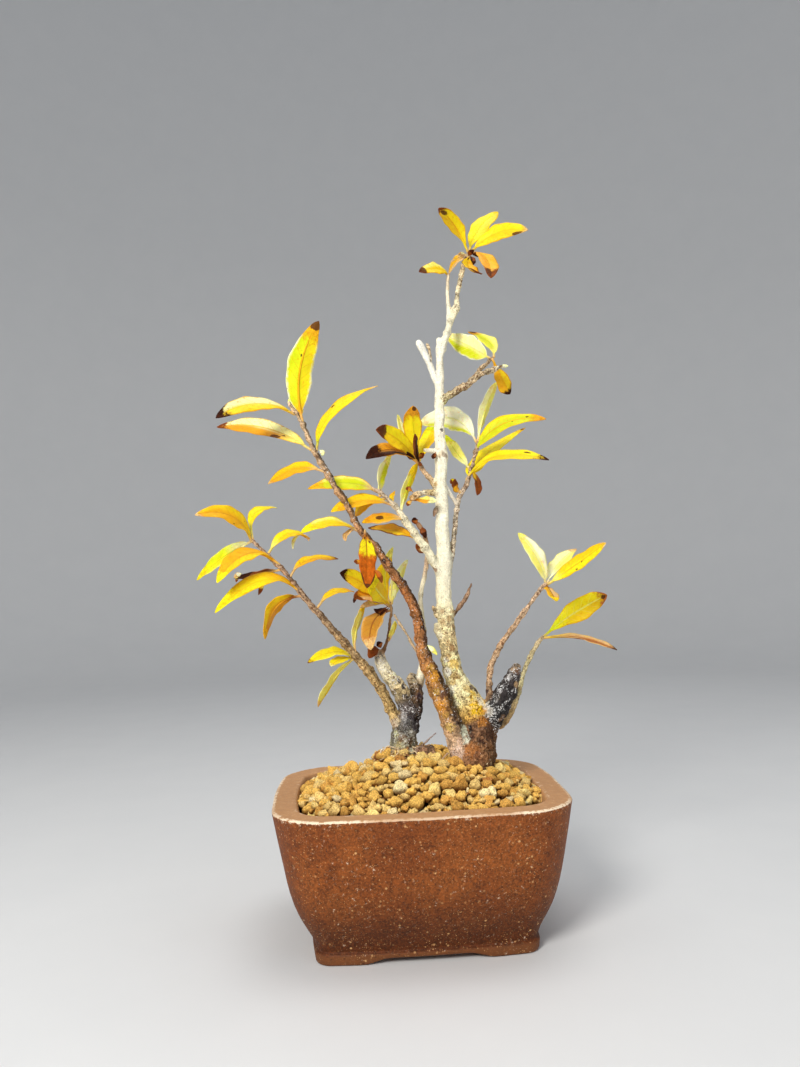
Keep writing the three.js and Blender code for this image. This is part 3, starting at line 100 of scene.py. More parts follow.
    'Le': ('leaf_left_end_dry', (-58.5, -11.4, 160.1), (-69.4, -4.0, 158.1), (-80.1, 3.0, 157.2), 5.5, (0.39, 0.71, 0.59), 1, 0.45, ('brown', 'orange', 'tan', 0.2, 'dark', 0.62, 0.1, 'orange', 0.4, 'brown'), []),
    'Lg': ('leaf_left_end_6', (-49.6, -10.0, 150.2), (-65.0, -17.0, 155.5), (-84.4, -26.0, 142.2), 9.5, (-0.45, 0.71, 0.54), 1, 0.50, ('yellow', 'bright', 'gold', 0.4, 'bright', 0.8, 0.3, 'gold', 0.2, 'yellow'), []),
    'Li': ('leaf_left_end_7', (-49.8, -10.0, 148.2), (-60.3, -15.0, 143.2), (-64.3, -22.0, 130.3), 9.0, (-0.21, -0.72, 0.66), -1, 0.50, ('yellow', 'orange', 'brown', 0.18, 'gold', 0.86, 0.25, 'gold', 0.4, 'orange'), [(0.2, -0.3, 0.03, 0.2), (0.12, 0.2, 0.03, 0.3)]),
    'Lj': ('leaf_left_end_8', (-53.6, -11.0, 157.2), (-45.9, -5.0, 164.0), (-32.5, 4.0, 164.4), 7.0, (-0.62, 0.68, 0.39), -1, 0.60, ('yellow', 'gold', 'tan', 0.2, 'brown', 0.94, 0, 'orange', 0.3, 'gold'), []),
    'M1': ('leaf_brown_tip_pair', (-46.5, -14.0, 226.0), (-46.6, -17.0, 247.6), (-37.6, -20.0, 268.6), 12.0, (-0.96, -0.20, 0.17), 1, 0.45, ('lime', 'bright', 'gold', 0.14, 'gold', 0.84, -0.05, 'white', 0.35, 'gold'), [(0.965, 0, 0.055, 1.2), (0.64, 0.15, 0.02, 0.05), (0.5, 0.1, 0.015, 0.04)]),
    'M2': ('leaf_brown_tip_pair', (-47.0, -13.6, 226.7), (-49.3, -8.0, 232.7), (-52.6, -4.0, 237.8), 6.0, (-0.91, -0.39, -0.12), -1, 0.50, ('green', 'gold', 'tan', 0.2, 'pale', 0.85, 0.1, 'pale', 0.3, 'gold'), []),
    'M3': ('leaf_brown_tip_2', (-50.1, -14.0, 229.1), (-65.5, -24.0, 231.2), (-81.2, -34.0, 223.3), 9.0, (-0.43, 0.45, 0.78), 1, 0.50, ('cream', 'yellow', 'yellow', 0.18, 'dark', 0.88, 0.1, 'orange', 0.25, 'yellow'), []),
    'M4': ('leaf_brown_tip_3', (-43.1, -14.0, 212.9), (-64.0, -6.0, 224.3), (-86.5, 4.0, 227.2), 10.0, (0.45, 0.51, 0.73), 1, 0.45, ('cream', 'orange', 'pale', 0.25, 'brown', 0.9, -0.05, 'orange', 0.3, 'gold'), [(0.33, -0.8, 0.05, 0.3), (0.27, -0.3, 0.02, 0.15)]),
    'M5': ('leaf_brown_tip_4', (-40.6, -13.5, 212.8), (-32.3, -5.0, 231.6), (-11.4, 4.0, 245.1), 8.0, (-0.70, 0.66, 0.28), -1, 0.50, ('yellow', 'bright', 'green', 0.15, 'tan', 0.93, 0.1, 'gold', 0.3, 'yellow'), [(0.55, 0.7, 0.03, 0.15)]),
    'M6': ('leaf_brown_tip_5', (-38.0, -13.3, 203.2), (-50.2, -6.0, 205.2), (-63.4, 0.0, 199.5), 8.5, (0.19, 0.57, 0.80), 1, 0.55, ('yellow', 'gold', 'tan', 0.18, 'tan', 0.95, 0.2, 'orange', 0.3, 'gold'), []),
    'R1': ('leaf_right_shoot_1', (59.4, -16.0, 149.9), (55.1, -19.0, 161.5), (47.4, -18.0, 172.4), 8.0, (-0.81, -0.37, -0.46), -1, 0.45, ('pale', 'white', 'cream', 0.2, 'pale', 0.9, -0.3, 'cream', 0.3, 'cream'), []),
    'R2': ('leaf_right_shoot_2', (59.7, -16.0, 150.2), (67.5, -9.0, 158.8), (78.2, 0.0, 165.3), 8.0, (-0.72, 0.67, 0.17), -1, 0.50, ('cream', 'pale', 'white', 0.25, 'tan', 0.9, -0.2, 'pale', 0.3, 'pale'), []),
    'R3': ('leaf_right_shoot_pair', (60.1, -16.0, 149.7), (71.3, -23.0, 157.3), (82.3, -32.0, 166.1), 8.5, (-0.04, 0.69, 0.73), -1, 0.50, ('yellow', 'bright', 'pale', 0.2, 'tan', 0.96, 0.2, 'gold', 0.3, 'gold'), [(0.6, -0.1, 0.02, 0.14), (0.5, -0.75, 0.02, 0.14)]),
    'R4': ('leaf_right_shoot_pair', (59.7, -16.0, 148.7), (60.4, -20.0, 145.9), (60.9, -26.0, 142.0), 7.0, (-0.90, -0.31, 0.30), 1, 0.50, ('gold', 'tan', 'brown', 0.2, 'yellow', 0.8, 0, 'gold', 0.3, 'brown'), []),
    'R5': ('leaf_right_low_1', (64.2, 13.0, 124.8), (77.4, 8.0, 134.9), (92.4, 2.0, 143.4), 11.0, (-0.36, 0.46, 0.81), -1, 0.60, ('bright', 'yellow', 'lime', 0.35, 'rust', 0.92, 0, 'gold', 0.12, 'pale'), [(0.95, 0.0, 0.03, 0.5)]),
    'R6': ('leaf_right_low_2', (64.5, 13.0, 124.4), (80.2, 8.0, 123.5), (96.1, 3.0, 117.6), 8.0, (0.34, 0.91, 0.22), -1, 0.50, ('tan', 'rust', 'yellow', 0.25, 'dark', 0.95, 0.2, 'tan', 0.5, 'rust'), []),
}
# Dry scraps, stipules and bud scales: base, middle, tip, width, width direction, and colours of the halves and the tip.
SCRAPS = {
    'curl_a': ((-49.3, -3.0, 175.5), (-52.0, -4.0, 173.3), (-52.5, -5.0, 169.2), 1.6, (0.88, 0.08, -0.47), 'cream', 'pale', 'cream'),
    'curl_b': ((-50.2, -3.0, 175.5), (-47.1, -3.0, 175.0), (-45.3, -3.0, 172.7), 1.4, (0.51, -0.04, 0.86), 'tan', 'gold', 'tan'),
    'hang_l': ((-21.7, -22.0, 160.4), (-23.8, -22.0, 161.8), (-25.5, -22.0, 161.8), 2.2, (-0.35, 0.04, -0.94), 'rust', 'orange', 'brown'),
    'hang_r': ((-17.0, -23.0, 158.5), (-14.9, -23.0, 155.9), (-13.8, -23.0, 152.4), 2.4, (0.88, -0.04, 0.47), 'rust', 'dorange', 'brown'),
    'dot_le': ((-76.2, 1.0, 158.9), (-78.0, 1.0, 158.5), (-79.8, 1.0, 157.2), 2.4, (0.42, 0.08, -0.90), 'cream', 'white', 'tan'),
    'dot_le2': ((-78.0, 1.0, 157.6), (-78.5, 1.0, 156.7), (-78.9, 1.0, 155.3), 1.4, (0.91, 0.13, -0.39), 'tan', 'pale', 'brown'),
    'dot_lh': ((-65.3, -16.8, 155.3), (-65.8, -16.4, 152.5), (-67.2, -16.0, 149.1), 2.0, (0.95, 0.10, -0.29), 'pale', 'gold', 'brown'),
    'crown_a': ((33.3, 1.0, 306.2), (33.8, -2.0, 306.4), (35.5, -4.0, 307.0), 2.4, (-0.69, -0.18, 0.71), 'brown', 'umber', 'dark'),
    'crown_b': ((34.3, 1.0, 305.7), (32.3, -2.0, 303.0), (31.4, -4.0, 299.8), 2.2, (0.88, 0.05, -0.47), 'brown', 'dark', 'dark'),
    'crown_c': ((34.4, 2.0, 306.6), (35.3, -1.0, 303.4), (34.9, -3.0, 300.2), 2.4, (0.93, -0.27, 0.27), 'umber', 'dark', 'dark'),
    'crown_d': ((33.0, 2.0, 306.6), (30.3, 0.0, 306.8), (28.1, -2.0, 305.5), 1.8, (-0.11, 0.40, -0.91), 'tan', 'cream', 'tan'),
    'crown_e': ((35.0, 2.0, 307.5), (36.2, -2.0, 305.9), (37.4, -3.0, 304.0), 1.8, (0.37, -0.41, 0.83), 'brown', 'dark', 'dark'),
    'spur_end': ((44.8, -7.0, 250.2), (46.4, -8.0, 250.3), (48.1, -9.0, 250.0), 1.5, (-0.10, -0.24, 0.96), 'cream', 'white', 'cream'),
    'bit_321': ((-39.4, -13.0, 212.4), (-38.0, -14.0, 211.3), (-38.1, -14.0, 209.6), 2.2, (0.91, -0.05, 0.42), 'cream', 'white', 'cream'),
    'star_a': ((5.2, 3.0, 209.9), (2.6, 0.0, 210.4), (0.6, -3.0, 212.3), 2.6, (-0.63, 0.17, -0.76), 'brown', 'dark', 'dark'),
    'star_b': ((6.1, 3.0, 209.4), (7.3, 0.0, 210.7), (8.5, -2.0, 211.8), 2.4, (-0.74, -0.04, 0.67), 'orange', 'brown', 'brown'),
    'star_c': ((6.6, 3.0, 208.9), (6.8, 1.0, 207.2), (7.1, 0.0, 206.1), 1.8, (0.93, -0.14, 0.33), 'brown', 'umber', 'brown'),
    'tuft_a': ((-9.8, 11.0, 141.8), (-13.8, 7.0, 139.7), (-16.7, 4.0, 140.8), 2.6, (0.18, -0.03, -0.98), 'umber', 'dark', 'dark'),
    'tuft_b': ((-9.4, 11.0, 140.9), (-11.9, 8.0, 139.1), (-13.9, 6.0, 137.4), 2.2, (0.63, -0.05, -0.77), 'brown', 'dark', 'dark'),
    'tuft_c': ((-11.2, 11.0, 142.8), (-17.5, 5.0, 143.6), (-23.2, 0.0, 141.6), 3.0, (0.12, -0.02, -0.99), 'tan', 'pale', 'tan'),
    'tuft_d': ((-9.3, 12.0, 142.7), (-7.1, 14.0, 148.3), (-7.3, 16.0, 154.0), 4.0, (-0.99, 0.06, 0.16), 'pale', 'cream', 'pale'),
    'tuft_e': ((-9.7, 12.0, 143.2), (-14.0, 16.0, 151.8), (-10.6, 20.0, 162.8), 5.0, (-1.00, 0.04, -0.06), 'gold', 'yellow', 'yellow'),
    'dot_355': ((-24.4, -2.0, 147.1), (-25.4, -3.0, 145.8), (-25.9, -3.0, 144.0), 1.6, (0.91, -0.01, -0.42), 'brown', 'dark', 'dark'),
    'knob_bit': ((2.7, -3.0, 193.7), (0.8, -4.0, 195.0), (-0.5, -4.0, 194.6), 2.4, (-0.30, 0.14, -0.94), 'orange', 'rust', 'brown'),
    'knob_bit2': ((2.5, -4.0, 189.9), (0.5, -5.0, 188.5), (0.0, -5.0, 187.1), 2.2, (0.75, 0.01, -0.66), 'tan', 'gold', 'brown'),
    'dried_424': ((5.5, 3.0, 178.9), (3.6, 2.0, 180.8), (4.0, 1.0, 182.1), 3.0, (-0.93, 0.11, -0.36), 'umber', 'rust', 'dark'),
    'dried_424b': ((5.9, 3.0, 178.4), (7.0, 1.0, 175.9), (8.2, 0.0, 172.6), 3.0, (0.90, -0.12, 0.41), 'brown', 'umber', 'dark'),
    'dried_416': ((7.8, 3.0, 165.8), (5.3, 1.0, 167.2), (3.5, 0.0, 170.0), 2.6, (-0.73, 0.10, -0.68), 'brown', 'tan', 'brown'),
    'cap_372': ((-14.3, 10.0, 121.5), (-17.2, 6.0, 121.9), (-19.8, 2.0, 118.6), 5.2, (0.55, -0.08, -0.83), 'umber', 'brown', 'brown'),
    'cap_378': ((-13.8, 11.0, 122.3), (-14.3, 8.0, 123.9), (-15.7, 6.0, 125.5), 3.0, (-0.85, 0.00, -0.53), 'brown', 'rust', 'dark'),
    'sliver_433': ((5.6, -13.0, 124.5), (7.7, -14.0, 122.7), (9.8, -14.0, 120.0), 2.2, (0.73, -0.02, 0.68), 'cream', 'white', 'pale'),
    'lat_bit': ((24.3, 5.0, 198.8), (22.2, 3.0, 199.1), (21.0, 2.0, 197.6), 2.6, (0.29, 0.09, -0.95), 'gold', 'bright', 'brown'),
    'ring_bit': ((14.0, -3.0, 212.0), (12.9, -4.0, 210.0), (12.4, -4.0, 208.6), 2.2, (0.90, -0.03, -0.43), 'umber', 'dark', 'dark'),
}
# Limbs: clump, stations x, y, z and radius in mm, colour stops by station, ruggedness, dark flecks, pale flecks, streaks, spacing of the nodes.
LIMBS = {
    'L_trunk': ('L', [(-5.1, 8.0, 67.3, 6.91), (-4.9, 8.0, 72.7, 6.69), (-4.8, 8.0, 77.2, 6.23), (-4.6, 8.0, 82.2, 5.78), (-4.0, 8.0, 87.2, 5.55)],
        [(0, (0.46, 0.34, 0.15)), (1, (0.36, 0.33, 0.19)), (2, (0.42, 0.40, 0.26)), (3, (0.24, 0.22, 0.18)), (4, (0.10, 0.10, 0.10))], 1.0, 0.6, 0.8, 0.1, 0),
    'L1': ('L', [(-5.6, 8.0, 81.4, 3.23), (-7.7, 7.0, 88.5, 2.88), (-10.7, 6.0, 95.1, 2.53), (-13.4, 4.0, 101.9, 2.29), (-16.9, 2.0, 107.7, 2.17), (-21.3, 0.0, 114.4, 2.04), (-25.7, -2.0, 119.6, 2.03), (-30.0, -4.0, 125.3, 1.80), (-35.6, -6.0, 132.3, 1.68), (-40.3, -8.0, 138.3, 1.56), (-45.4, -9.0, 144.3, 1.33), (-49.6, -10.0, 149.8, 1.22), (-54.6, -11.0, 157.0, 1.10), (-59.7, -12.0, 162.9, 0.99), (-64.8, -12.0, 167.9, 0.88), (-69.9, -12.0, 173.3, 0.66)],
        [(0, (0.74, 0.55, 0.30)), (2, (0.78, 0.55, 0.22)), (5, (0.66, 0.45, 0.20)), (8, (0.50, 0.33, 0.18)), (12, (0.50, 0.32, 0.20)), (15, (0.62, 0.44, 0.30))], 0.6, 0.65, 0.2, 0.8, 9),
    'L2': ('L', [(-3.5, 9.0, 84.3, 4.63), (-2.3, 9.0, 91.6, 4.41), (-3.5, 9.0, 97.6, 3.95), (-6.1, 9.0, 102.8, 3.72), (-9.7, 9.0, 108.0, 3.25), (-12.7, 10.0, 112.6, 3.03), (-14.5, 10.0, 116.9, 2.80), (-15.7, 10.0, 120.6, 2.10)],
        [(0, (0.06, 0.04, 0.05)), (2, (0.10, 0.08, 0.07)), (3, (0.62, 0.48, 0.24)), (4, (0.80, 0.70, 0.44)), (6, (0.88, 0.80, 0.58)), (7, (0.52, 0.30, 0.16))], 0.9, 0.5, 0.85, 0.4, 0),
    'L2t': ('L', [(-14.9, 10.0, 117.8, 1.40), (-12.4, 10.0, 122.4, 0.93), (-10.3, 11.0, 127.8, 0.75), (-9.1, 12.0, 134.3, 0.71), (-8.4, 12.0, 139.9, 0.71), (-8.8, 12.0, 143.6, 0.71)],
        [(0, (0.34, 0.18, 0.08)), (2, (0.26, 0.13, 0.06)), (5, (0.45, 0.28, 0.14))], 0.3, 0.3, 0.1, 0.5, 9),
    'L3': ('L', [(-1.1, 10.0, 84.0, 3.72), (1.1, 11.0, 93.0, 3.27), (1.9, 11.0, 100.8, 3.04), (1.1, 11.0, 105.9, 2.81), (0.3, 11.0, 109.2, 1.87)],
        [(0, (0.04, 0.03, 0.04)), (2, (0.16, 0.09, 0.05)), (4, (0.45, 0.36, 0.22))], 1.0, 0.6, 0.75, 0.4, 0),
    'L3t': ('L', [(2.4, 11.0, 101.3, 2.10), (4.0, 11.0, 107.2, 1.99), (5.2, 12.0, 112.7, 1.65), (6.5, 13.0, 118.1, 1.30), (7.2, 13.0, 125.1, 1.13), (6.6, 13.0, 133.6, 1.09), (5.8, 12.0, 141.7, 1.09), (6.0, 11.0, 147.8, 1.09), (7.4, 9.0, 153.4, 1.08), (8.3, 6.0, 158.9, 1.07), (8.8, 4.0, 164.4, 0.98), (8.8, 3.0, 169.5, 0.97), (7.6, 3.0, 174.7, 1.05), (5.0, 3.0, 179.4, 1.16)],
        [(0, (0.34, 0.18, 0.08)), (1, (0.78, 0.66, 0.44)), (2, (0.95, 0.90, 0.70)), (4, (0.93, 0.87, 0.64)), (8, (0.91, 0.84, 0.62)), (9, (0.74, 0.54, 0.36)), (11, (0.60, 0.40, 0.24)), (13, (0.30, 0.15, 0.07))], 0.25, 0.25, 0.1, 0.4, 14),
    'R_base': ('R', [(24.7, -6.0, 65.2, 10.26), (25.0, -6.0, 71.4, 9.60), (26.1, -6.0, 76.6, 9.17), (27.2, -6.0, 81.8, 8.51), (27.9, -6.0, 87.1, 8.07)],
        [(0, (0.20, 0.09, 0.04)), (2, (0.36, 0.18, 0.08)), (4, (0.14, 0.07, 0.04))], 1.0, 0.55, 0.3, 0.35, 0),
    'B': ('R', [(20.7, -7.0, 70.0, 4.90), (18.6, -8.0, 77.3, 4.44), (17.1, -8.0, 84.0, 4.45), (15.4, -9.0, 89.9, 4.22), (12.9, -10.0, 96.7, 3.99), (10.0, -10.0, 104.3, 3.88), (7.5, -11.0, 111.1, 3.54), (5.5, -11.0, 116.5, 3.32), (3.8, -12.0, 122.3, 2.87), (3.2, -12.0, 127.6, 2.54), (2.5, -12.0, 134.7, 2.44), (0.4, -13.0, 141.0, 2.43), (-2.4, -13.0, 147.2, 2.21), (-6.7, -14.0, 154.4, 2.10), (-10.5, -14.0, 160.3, 1.99), (-14.2, -14.0, 166.2, 1.77), (-18.1, -14.0, 171.2, 1.66), (-22.3, -14.0, 176.2, 1.66), (-25.6, -14.0, 182.9, 1.44), (-29.4, -14.0, 190.1, 1.44), (-33.2, -14.0, 196.5, 1.44), (-37.0, -14.0, 203.3, 1.33), (-40.3, -14.0, 209.6, 1.33), (-43.6, -14.0, 216.8, 1.22), (-46.5, -14.0, 224.1, 1.11), (-49.5, -14.0, 229.6, 0.89), (-52.0, -14.0, 234.1, 0.67)],
        [(0, (0.66, 0.46, 0.32)), (2, (0.62, 0.42, 0.26)), (4, (0.52, 0.26, 0.07)), (7, (0.46, 0.20, 0.06)), (9, (0.44, 0.18, 0.06)), (12, (0.38, 0.14, 0.04)), (16, (0.46, 0.22, 0.09)), (19, (0.52, 0.29, 0.14)), (22, (0.62, 0.41, 0.23)), (24, (0.70, 0.49, 0.29)), (26, (0.76, 0.56, 0.36))], 0.8, 0.42, 0.6, 0.6, 12),
    'A': ('R', [(27.8, -5.0, 80.7, 8.53), (27.2, -4.0, 85.9, 7.66), (26.1, -4.0, 91.8, 7.21), (23.8, -3.0, 97.5, 6.56), (20.8, -3.0, 103.0, 5.66), (19.3, -2.0, 107.5, 4.77), (17.7, -2.0, 112.9, 4.32), (16.9, -1.0, 118.8, 4.10), (16.3, 0.0, 125.5, 4.12), (16.1, 0.0, 132.4, 3.89), (15.7, 0.0, 138.3, 3.90), (15.4, 0.0, 143.8, 3.63), (15.5, 0.0, 150.7, 3.59), (16.0, 0.0, 157.6, 3.45), (16.1, 0.0, 165.9, 3.34), (16.1, 0.0, 173.7, 3.23), (16.2, 0.0, 181.6, 3.07), (16.2, 0.0, 190.0, 2.92), (16.3, 0.0, 199.3, 2.87), (16.4, 0.0, 205.8, 2.79), (16.6, 0.0, 210.1, 3.11), (16.5, 0.0, 213.3, 2.79), (16.5, 0.0, 219.0, 2.56), (16.4, 0.0, 225.1, 2.42), (16.6, 0.0, 232.2, 2.38), (16.9, 0.0, 239.3, 2.10), (17.3, 0.0, 245.9, 2.15), (17.6, 0.0, 251.1, 1.78), (17.8, 0.0, 256.8, 1.73), (17.9, 0.0, 262.1, 1.69), (17.5, 0.0, 265.9, 1.06)],
        [(0, (0.30, 0.15, 0.06)), (1, (0.42, 0.20, 0.06)), (2, (0.66, 0.38, 0.07)), (3, (0.80, 0.64, 0.28)), (4, (0.84, 0.76, 0.45)), (6, (0.82, 0.70, 0.36)), (8, (0.78, 0.62, 0.32)), (10, (0.84, 0.74, 0.44)), (11, (0.90, 0.83, 0.58)), (13, (0.93, 0.87, 0.66)), (31, (0.93, 0.87, 0.70))], 0.85, 0.6, 0.2, 0.25, 0),
    'Stub': ('R', [(29.6, -6.0, 85.3, 5.83), (33.7, -7.0, 90.1, 5.37), (37.4, -8.0, 95.8, 4.92), (40.3, -8.0, 100.6, 4.70), (42.8, -8.0, 105.3, 4.04), (44.8, -8.0, 109.7, 2.92), (46.6, -8.0, 113.6, 1.57)],
        [(0, (0.10, 0.06, 0.04)), (1, (0.02, 0.02, 0.02)), (5, (0.04, 0.03, 0.03)), (6, (0.34, 0.24, 0.15))], 1.0, 0.2, 0.95, 0.3, 0),
    'S1': ('R', [(31.6, -4.0, 92.9, 2.03), (33.0, -5.0, 98.3, 1.53), (33.5, -6.0, 102.8, 1.46), (33.8, -7.0, 107.4, 1.41), (34.5, -8.0, 112.8, 1.35), (36.3, -9.0, 117.7, 1.34), (38.1, -10.0, 121.3, 1.25), (40.8, -11.0, 125.7, 1.16), (44.0, -12.0, 130.0, 1.11), (47.6, -13.0, 134.8, 1.11), (51.2, -14.0, 139.6, 1.02), (54.3, -15.0, 143.9, 1.00), (57.0, -16.0, 147.4, 1.02), (59.3, -16.0, 149.5, 0.89)],
        [(0, (0.50, 0.30, 0.16)), (4, (0.66, 0.44, 0.26)), (7, (0.60, 0.38, 0.21)), (13, (0.76, 0.56, 0.38))], 0.55, 0.6, 0.2, 0.8, 9),
    'S2': ('R', [(33.8, -6.0, 88.6, 2.47), (38.0, -5.0, 87.4, 1.91), (41.7, -3.0, 89.6, 1.54), (44.5, -1.0, 92.8, 1.32), (47.2, 2.0, 96.8, 1.20), (49.2, 4.0, 101.0, 1.16), (51.2, 6.0, 105.3, 1.17), (53.3, 8.0, 109.7, 1.17), (55.8, 10.0, 114.0, 1.11), (58.2, 11.0, 118.1, 1.09), (61.0, 12.0, 121.7, 1.09), (63.8, 13.0, 124.8, 0.95)],
        [(0, (0.50, 0.30, 0.12)), (3, (0.66, 0.46, 0.22)), (5, (0.68, 0.60, 0.32)), (8, (0.66, 0.56, 0.30)), (11, (0.66, 0.50, 0.30))], 0.5, 0.5, 0.2, 0.6, 10),
    'Lead': ('R', [(18.0, 0.0, 257.8, 1.52), (19.6, 0.0, 262.5, 1.69), (21.1, 0.0, 266.8, 1.64), (22.9, 1.0, 271.9, 1.53), (24.5, 1.0, 276.2, 1.42), (26.7, 2.0, 280.9, 1.66), (27.4, 2.0, 286.2, 1.19), (28.6, 2.0, 292.0, 1.19), (29.7, 2.0, 296.9, 1.09), (30.9, 2.0, 301.2, 1.09), (33.0, 2.0, 306.1, 1.19), (34.5, 2.0, 309.0, 0.95)],
        [(0, (0.95, 0.92, 0.78)), (3, (0.90, 0.84, 0.60)), (6, (0.86, 0.76, 0.50)), (11, (0.62, 0.45, 0.26))], 0.7, 0.6, 0.2, 0.3, 7),
    'Lead2': ('R', [(22.8, 1.0, 268.5, 1.18), (22.9, 2.0, 275.6, 1.09), (23.3, 3.0, 281.8, 0.95), (23.1, 3.0, 288.1, 0.95), (23.4, 4.0, 293.3, 0.86), (23.8, 4.0, 298.2, 0.86)],
        [(0, (0.95, 0.92, 0.78)), (3, (0.86, 0.78, 0.58)), (5, (0.80, 0.66, 0.46))], 0.25, 0.25, 0.2, 0.3, 11),
    'Top_L': ('R', [(17.0, 0.0, 243.5, 1.87), (14.7, -1.0, 248.5, 1.68), (12.9, -2.0, 253.0, 1.54), (10.6, -3.0, 258.0, 1.53), (8.6, -4.0, 261.7, 1.71), (7.7, -4.0, 263.4, 1.39)],
        [(0, (0.95, 0.92, 0.78)), (5, (0.93, 0.90, 0.80))], 0.2, 0.12, 0.2, 0.3, 0),
    'Top_Lb': ('R', [(12.9, -2.0, 252.6, 0.79), (13.2, -1.0, 258.1, 0.79), (12.1, 0.0, 263.6, 0.70)],
        [(0, (0.50, 0.36, 0.20)), (2, (0.62, 0.50, 0.32))], 0.6, 0.6, 0.3, 0.2, 0),
    'Knob': ('R', [(17.1, 0.0, 235.9, 2.10), (20.4, -1.0, 238.0, 1.86), (23.1, -2.0, 239.1, 1.67), (26.3, -3.0, 241.2, 1.72), (29.5, -4.0, 243.0, 1.62), (33.2, -5.0, 245.7, 1.43), (37.4, -6.0, 247.7, 1.29), (41.4, -7.0, 248.8, 1.15), (44.7, -7.0, 249.9, 0.92), (47.8, -8.0, 250.3, 0.60)],
        [(0, (0.82, 0.76, 0.46)), (1, (0.66, 0.56, 0.30)), (3, (0.66, 0.50, 0.30)), (6, (0.72, 0.56, 0.34)), (9, (0.88, 0.82, 0.60))], 0.8, 0.8, 0.5, 0.2, 4),
    'Knob2': ('R', [(31.8, -5.0, 244.8, 1.04), (35.4, -4.0, 249.3, 0.98), (39.0, -3.0, 252.8, 0.93), (41.7, -2.0, 255.4, 0.94), (43.1, -2.0, 256.8, 0.70)],
        [(0, (0.66, 0.50, 0.30)), (4, (0.60, 0.42, 0.24))], 0.7, 0.7, 0.4, 0.2, 4),
    'B3': ('R', [(16.3, 0.0, 153.9, 2.30), (13.1, -1.0, 159.0, 2.29), (10.4, -2.0, 163.2, 2.17), (7.3, -3.0, 168.3, 1.94), (4.2, -3.0, 172.5, 1.83), (1.5, -4.0, 176.2, 1.64), (-1.1, -4.0, 179.9, 1.60), (-3.2, -4.0, 183.6, 1.37), (-5.0, -4.0, 186.4, 1.25), (-7.6, -4.0, 189.3, 1.14), (-10.7, -4.0, 192.1, 1.03), (-13.4, -4.0, 194.5, 0.91), (-16.1, -4.0, 195.9, 0.68)],
        [(0, (0.93, 0.89, 0.68)), (4, (0.88, 0.80, 0.54)), (7, (0.86, 0.78, 0.55)), (10, (0.60, 0.48, 0.34)), (12, (0.60, 0.42, 0.26))], 0.6, 0.55, 0.2, 0.45, 8),
    'Lat': ('R', [(16.7, 0.0, 153.0, 1.84), (19.1, 2.0, 160.3, 1.51), (20.4, 3.0, 166.8, 1.30), (21.6, 3.0, 173.3, 1.16), (22.5, 4.0, 179.4, 1.17), (23.4, 4.0, 184.6, 1.17), (24.4, 5.0, 189.4, 1.17), (26.1, 6.0, 193.2, 1.18), (28.3, 7.0, 196.6, 1.09), (30.5, 8.0, 200.5, 1.09), (31.8, 9.0, 204.9, 1.00), (33.4, 9.0, 209.7, 0.95), (34.6, 9.0, 214.5, 0.95), (35.3, 9.0, 218.8, 0.81)],
        [(0, (0.95, 0.92, 0.78)), (2, (0.72, 0.60, 0.42)), (6, (0.70, 0.58, 0.42)), (9, (0.58, 0.42, 0.28)), (13, (0.60, 0.42, 0.26))], 0.7, 0.75, 0.45, 0.5, 7),
    'Lat2': ('R', [(18.1, 1.0, 196.6, 1.16), (20.4, 2.0, 192.9, 0.98), (22.3, 3.0, 190.1, 0.93), (23.9, 4.0, 186.4, 0.94)],
        [(0, (0.95, 0.92, 0.78)), (3, (0.74, 0.62, 0.46))], 0.3, 0.4, 0.3, 0.3, 0),
    'Twg': ('R', [(17.4, 0.0, 135.1, 1.38), (19.7, -1.0, 137.3, 1.05), (21.9, -2.0, 140.0, 0.96), (24.3, -3.0, 143.5, 1.05), (26.1, -4.0, 147.1, 0.91), (27.5, -5.0, 150.7, 0.57)],
        [(0, (0.60, 0.40, 0.20)), (1, (0.22, 0.11, 0.05)), (4, (0.50, 0.32, 0.20)), (5, (0.20, 0.10, 0.05))], 0.6, 0.6, 0.3, 0.3, 6),
    'Nub': ('R', [(13.8, 0.0, 136.6, 1.83), (11.2, -1.0, 138.5, 1.37), (10.2, -1.0, 141.3, 0.82)],
        [(0, (0.84, 0.72, 0.42)), (2, (0.50, 0.34, 0.18))], 0.7, 0.7, 0.3, 0.2, 0),
    'Bulge': ('R', [(15.7, 0.0, 125.6, 2.06), (11.9, -2.0, 129.4, 1.82), (11.1, -2.0, 133.1, 1.14)],
        [(0, (0.84, 0.72, 0.42)), (2, (0.84, 0.76, 0.50))], 0.6, 0.5, 0.2, 0.2, 0),
    'Vt': ('R', [(16.0, 0.0, 193.7, 1.39), (13.4, 1.0, 197.2, 1.86), (11.7, 2.0, 199.7, 1.40), (10.1, 3.0, 202.2, 1.07), (8.4, 4.0, 205.2, 1.08), (6.6, 4.0, 208.1, 0.94)],
        [(0, (0.86, 0.78, 0.52)), (1, (0.60, 0.42, 0.20)), (3, (0.66, 0.46, 0.28)), (5, (0.55, 0.36, 0.20))], 0.5, 0.5, 0.3, 0.4, 6),
    'Vs': ('R', [(15.9, 0.0, 192.8, 1.62), (10.6, -2.0, 193.6, 1.50), (6.8, -3.0, 193.1, 1.15), (3.5, -4.0, 191.7, 1.83), (1.4, -4.0, 190.9, 1.14)],
        [(0, (0.92, 0.88, 0.70)), (1, (0.70, 0.50, 0.20)), (2, (0.82, 0.74, 0.55)), (3, (0.62, 0.42, 0.20)), (4, (0.50, 0.28, 0.10))], 0.7, 0.6, 0.4, 0.3, 0),
    'Ring': ('R', [(16.7, 0.0, 211.9, 1.63), (12.4, -1.0, 212.8, 1.30), (8.6, -2.0, 213.2, 0.92)],
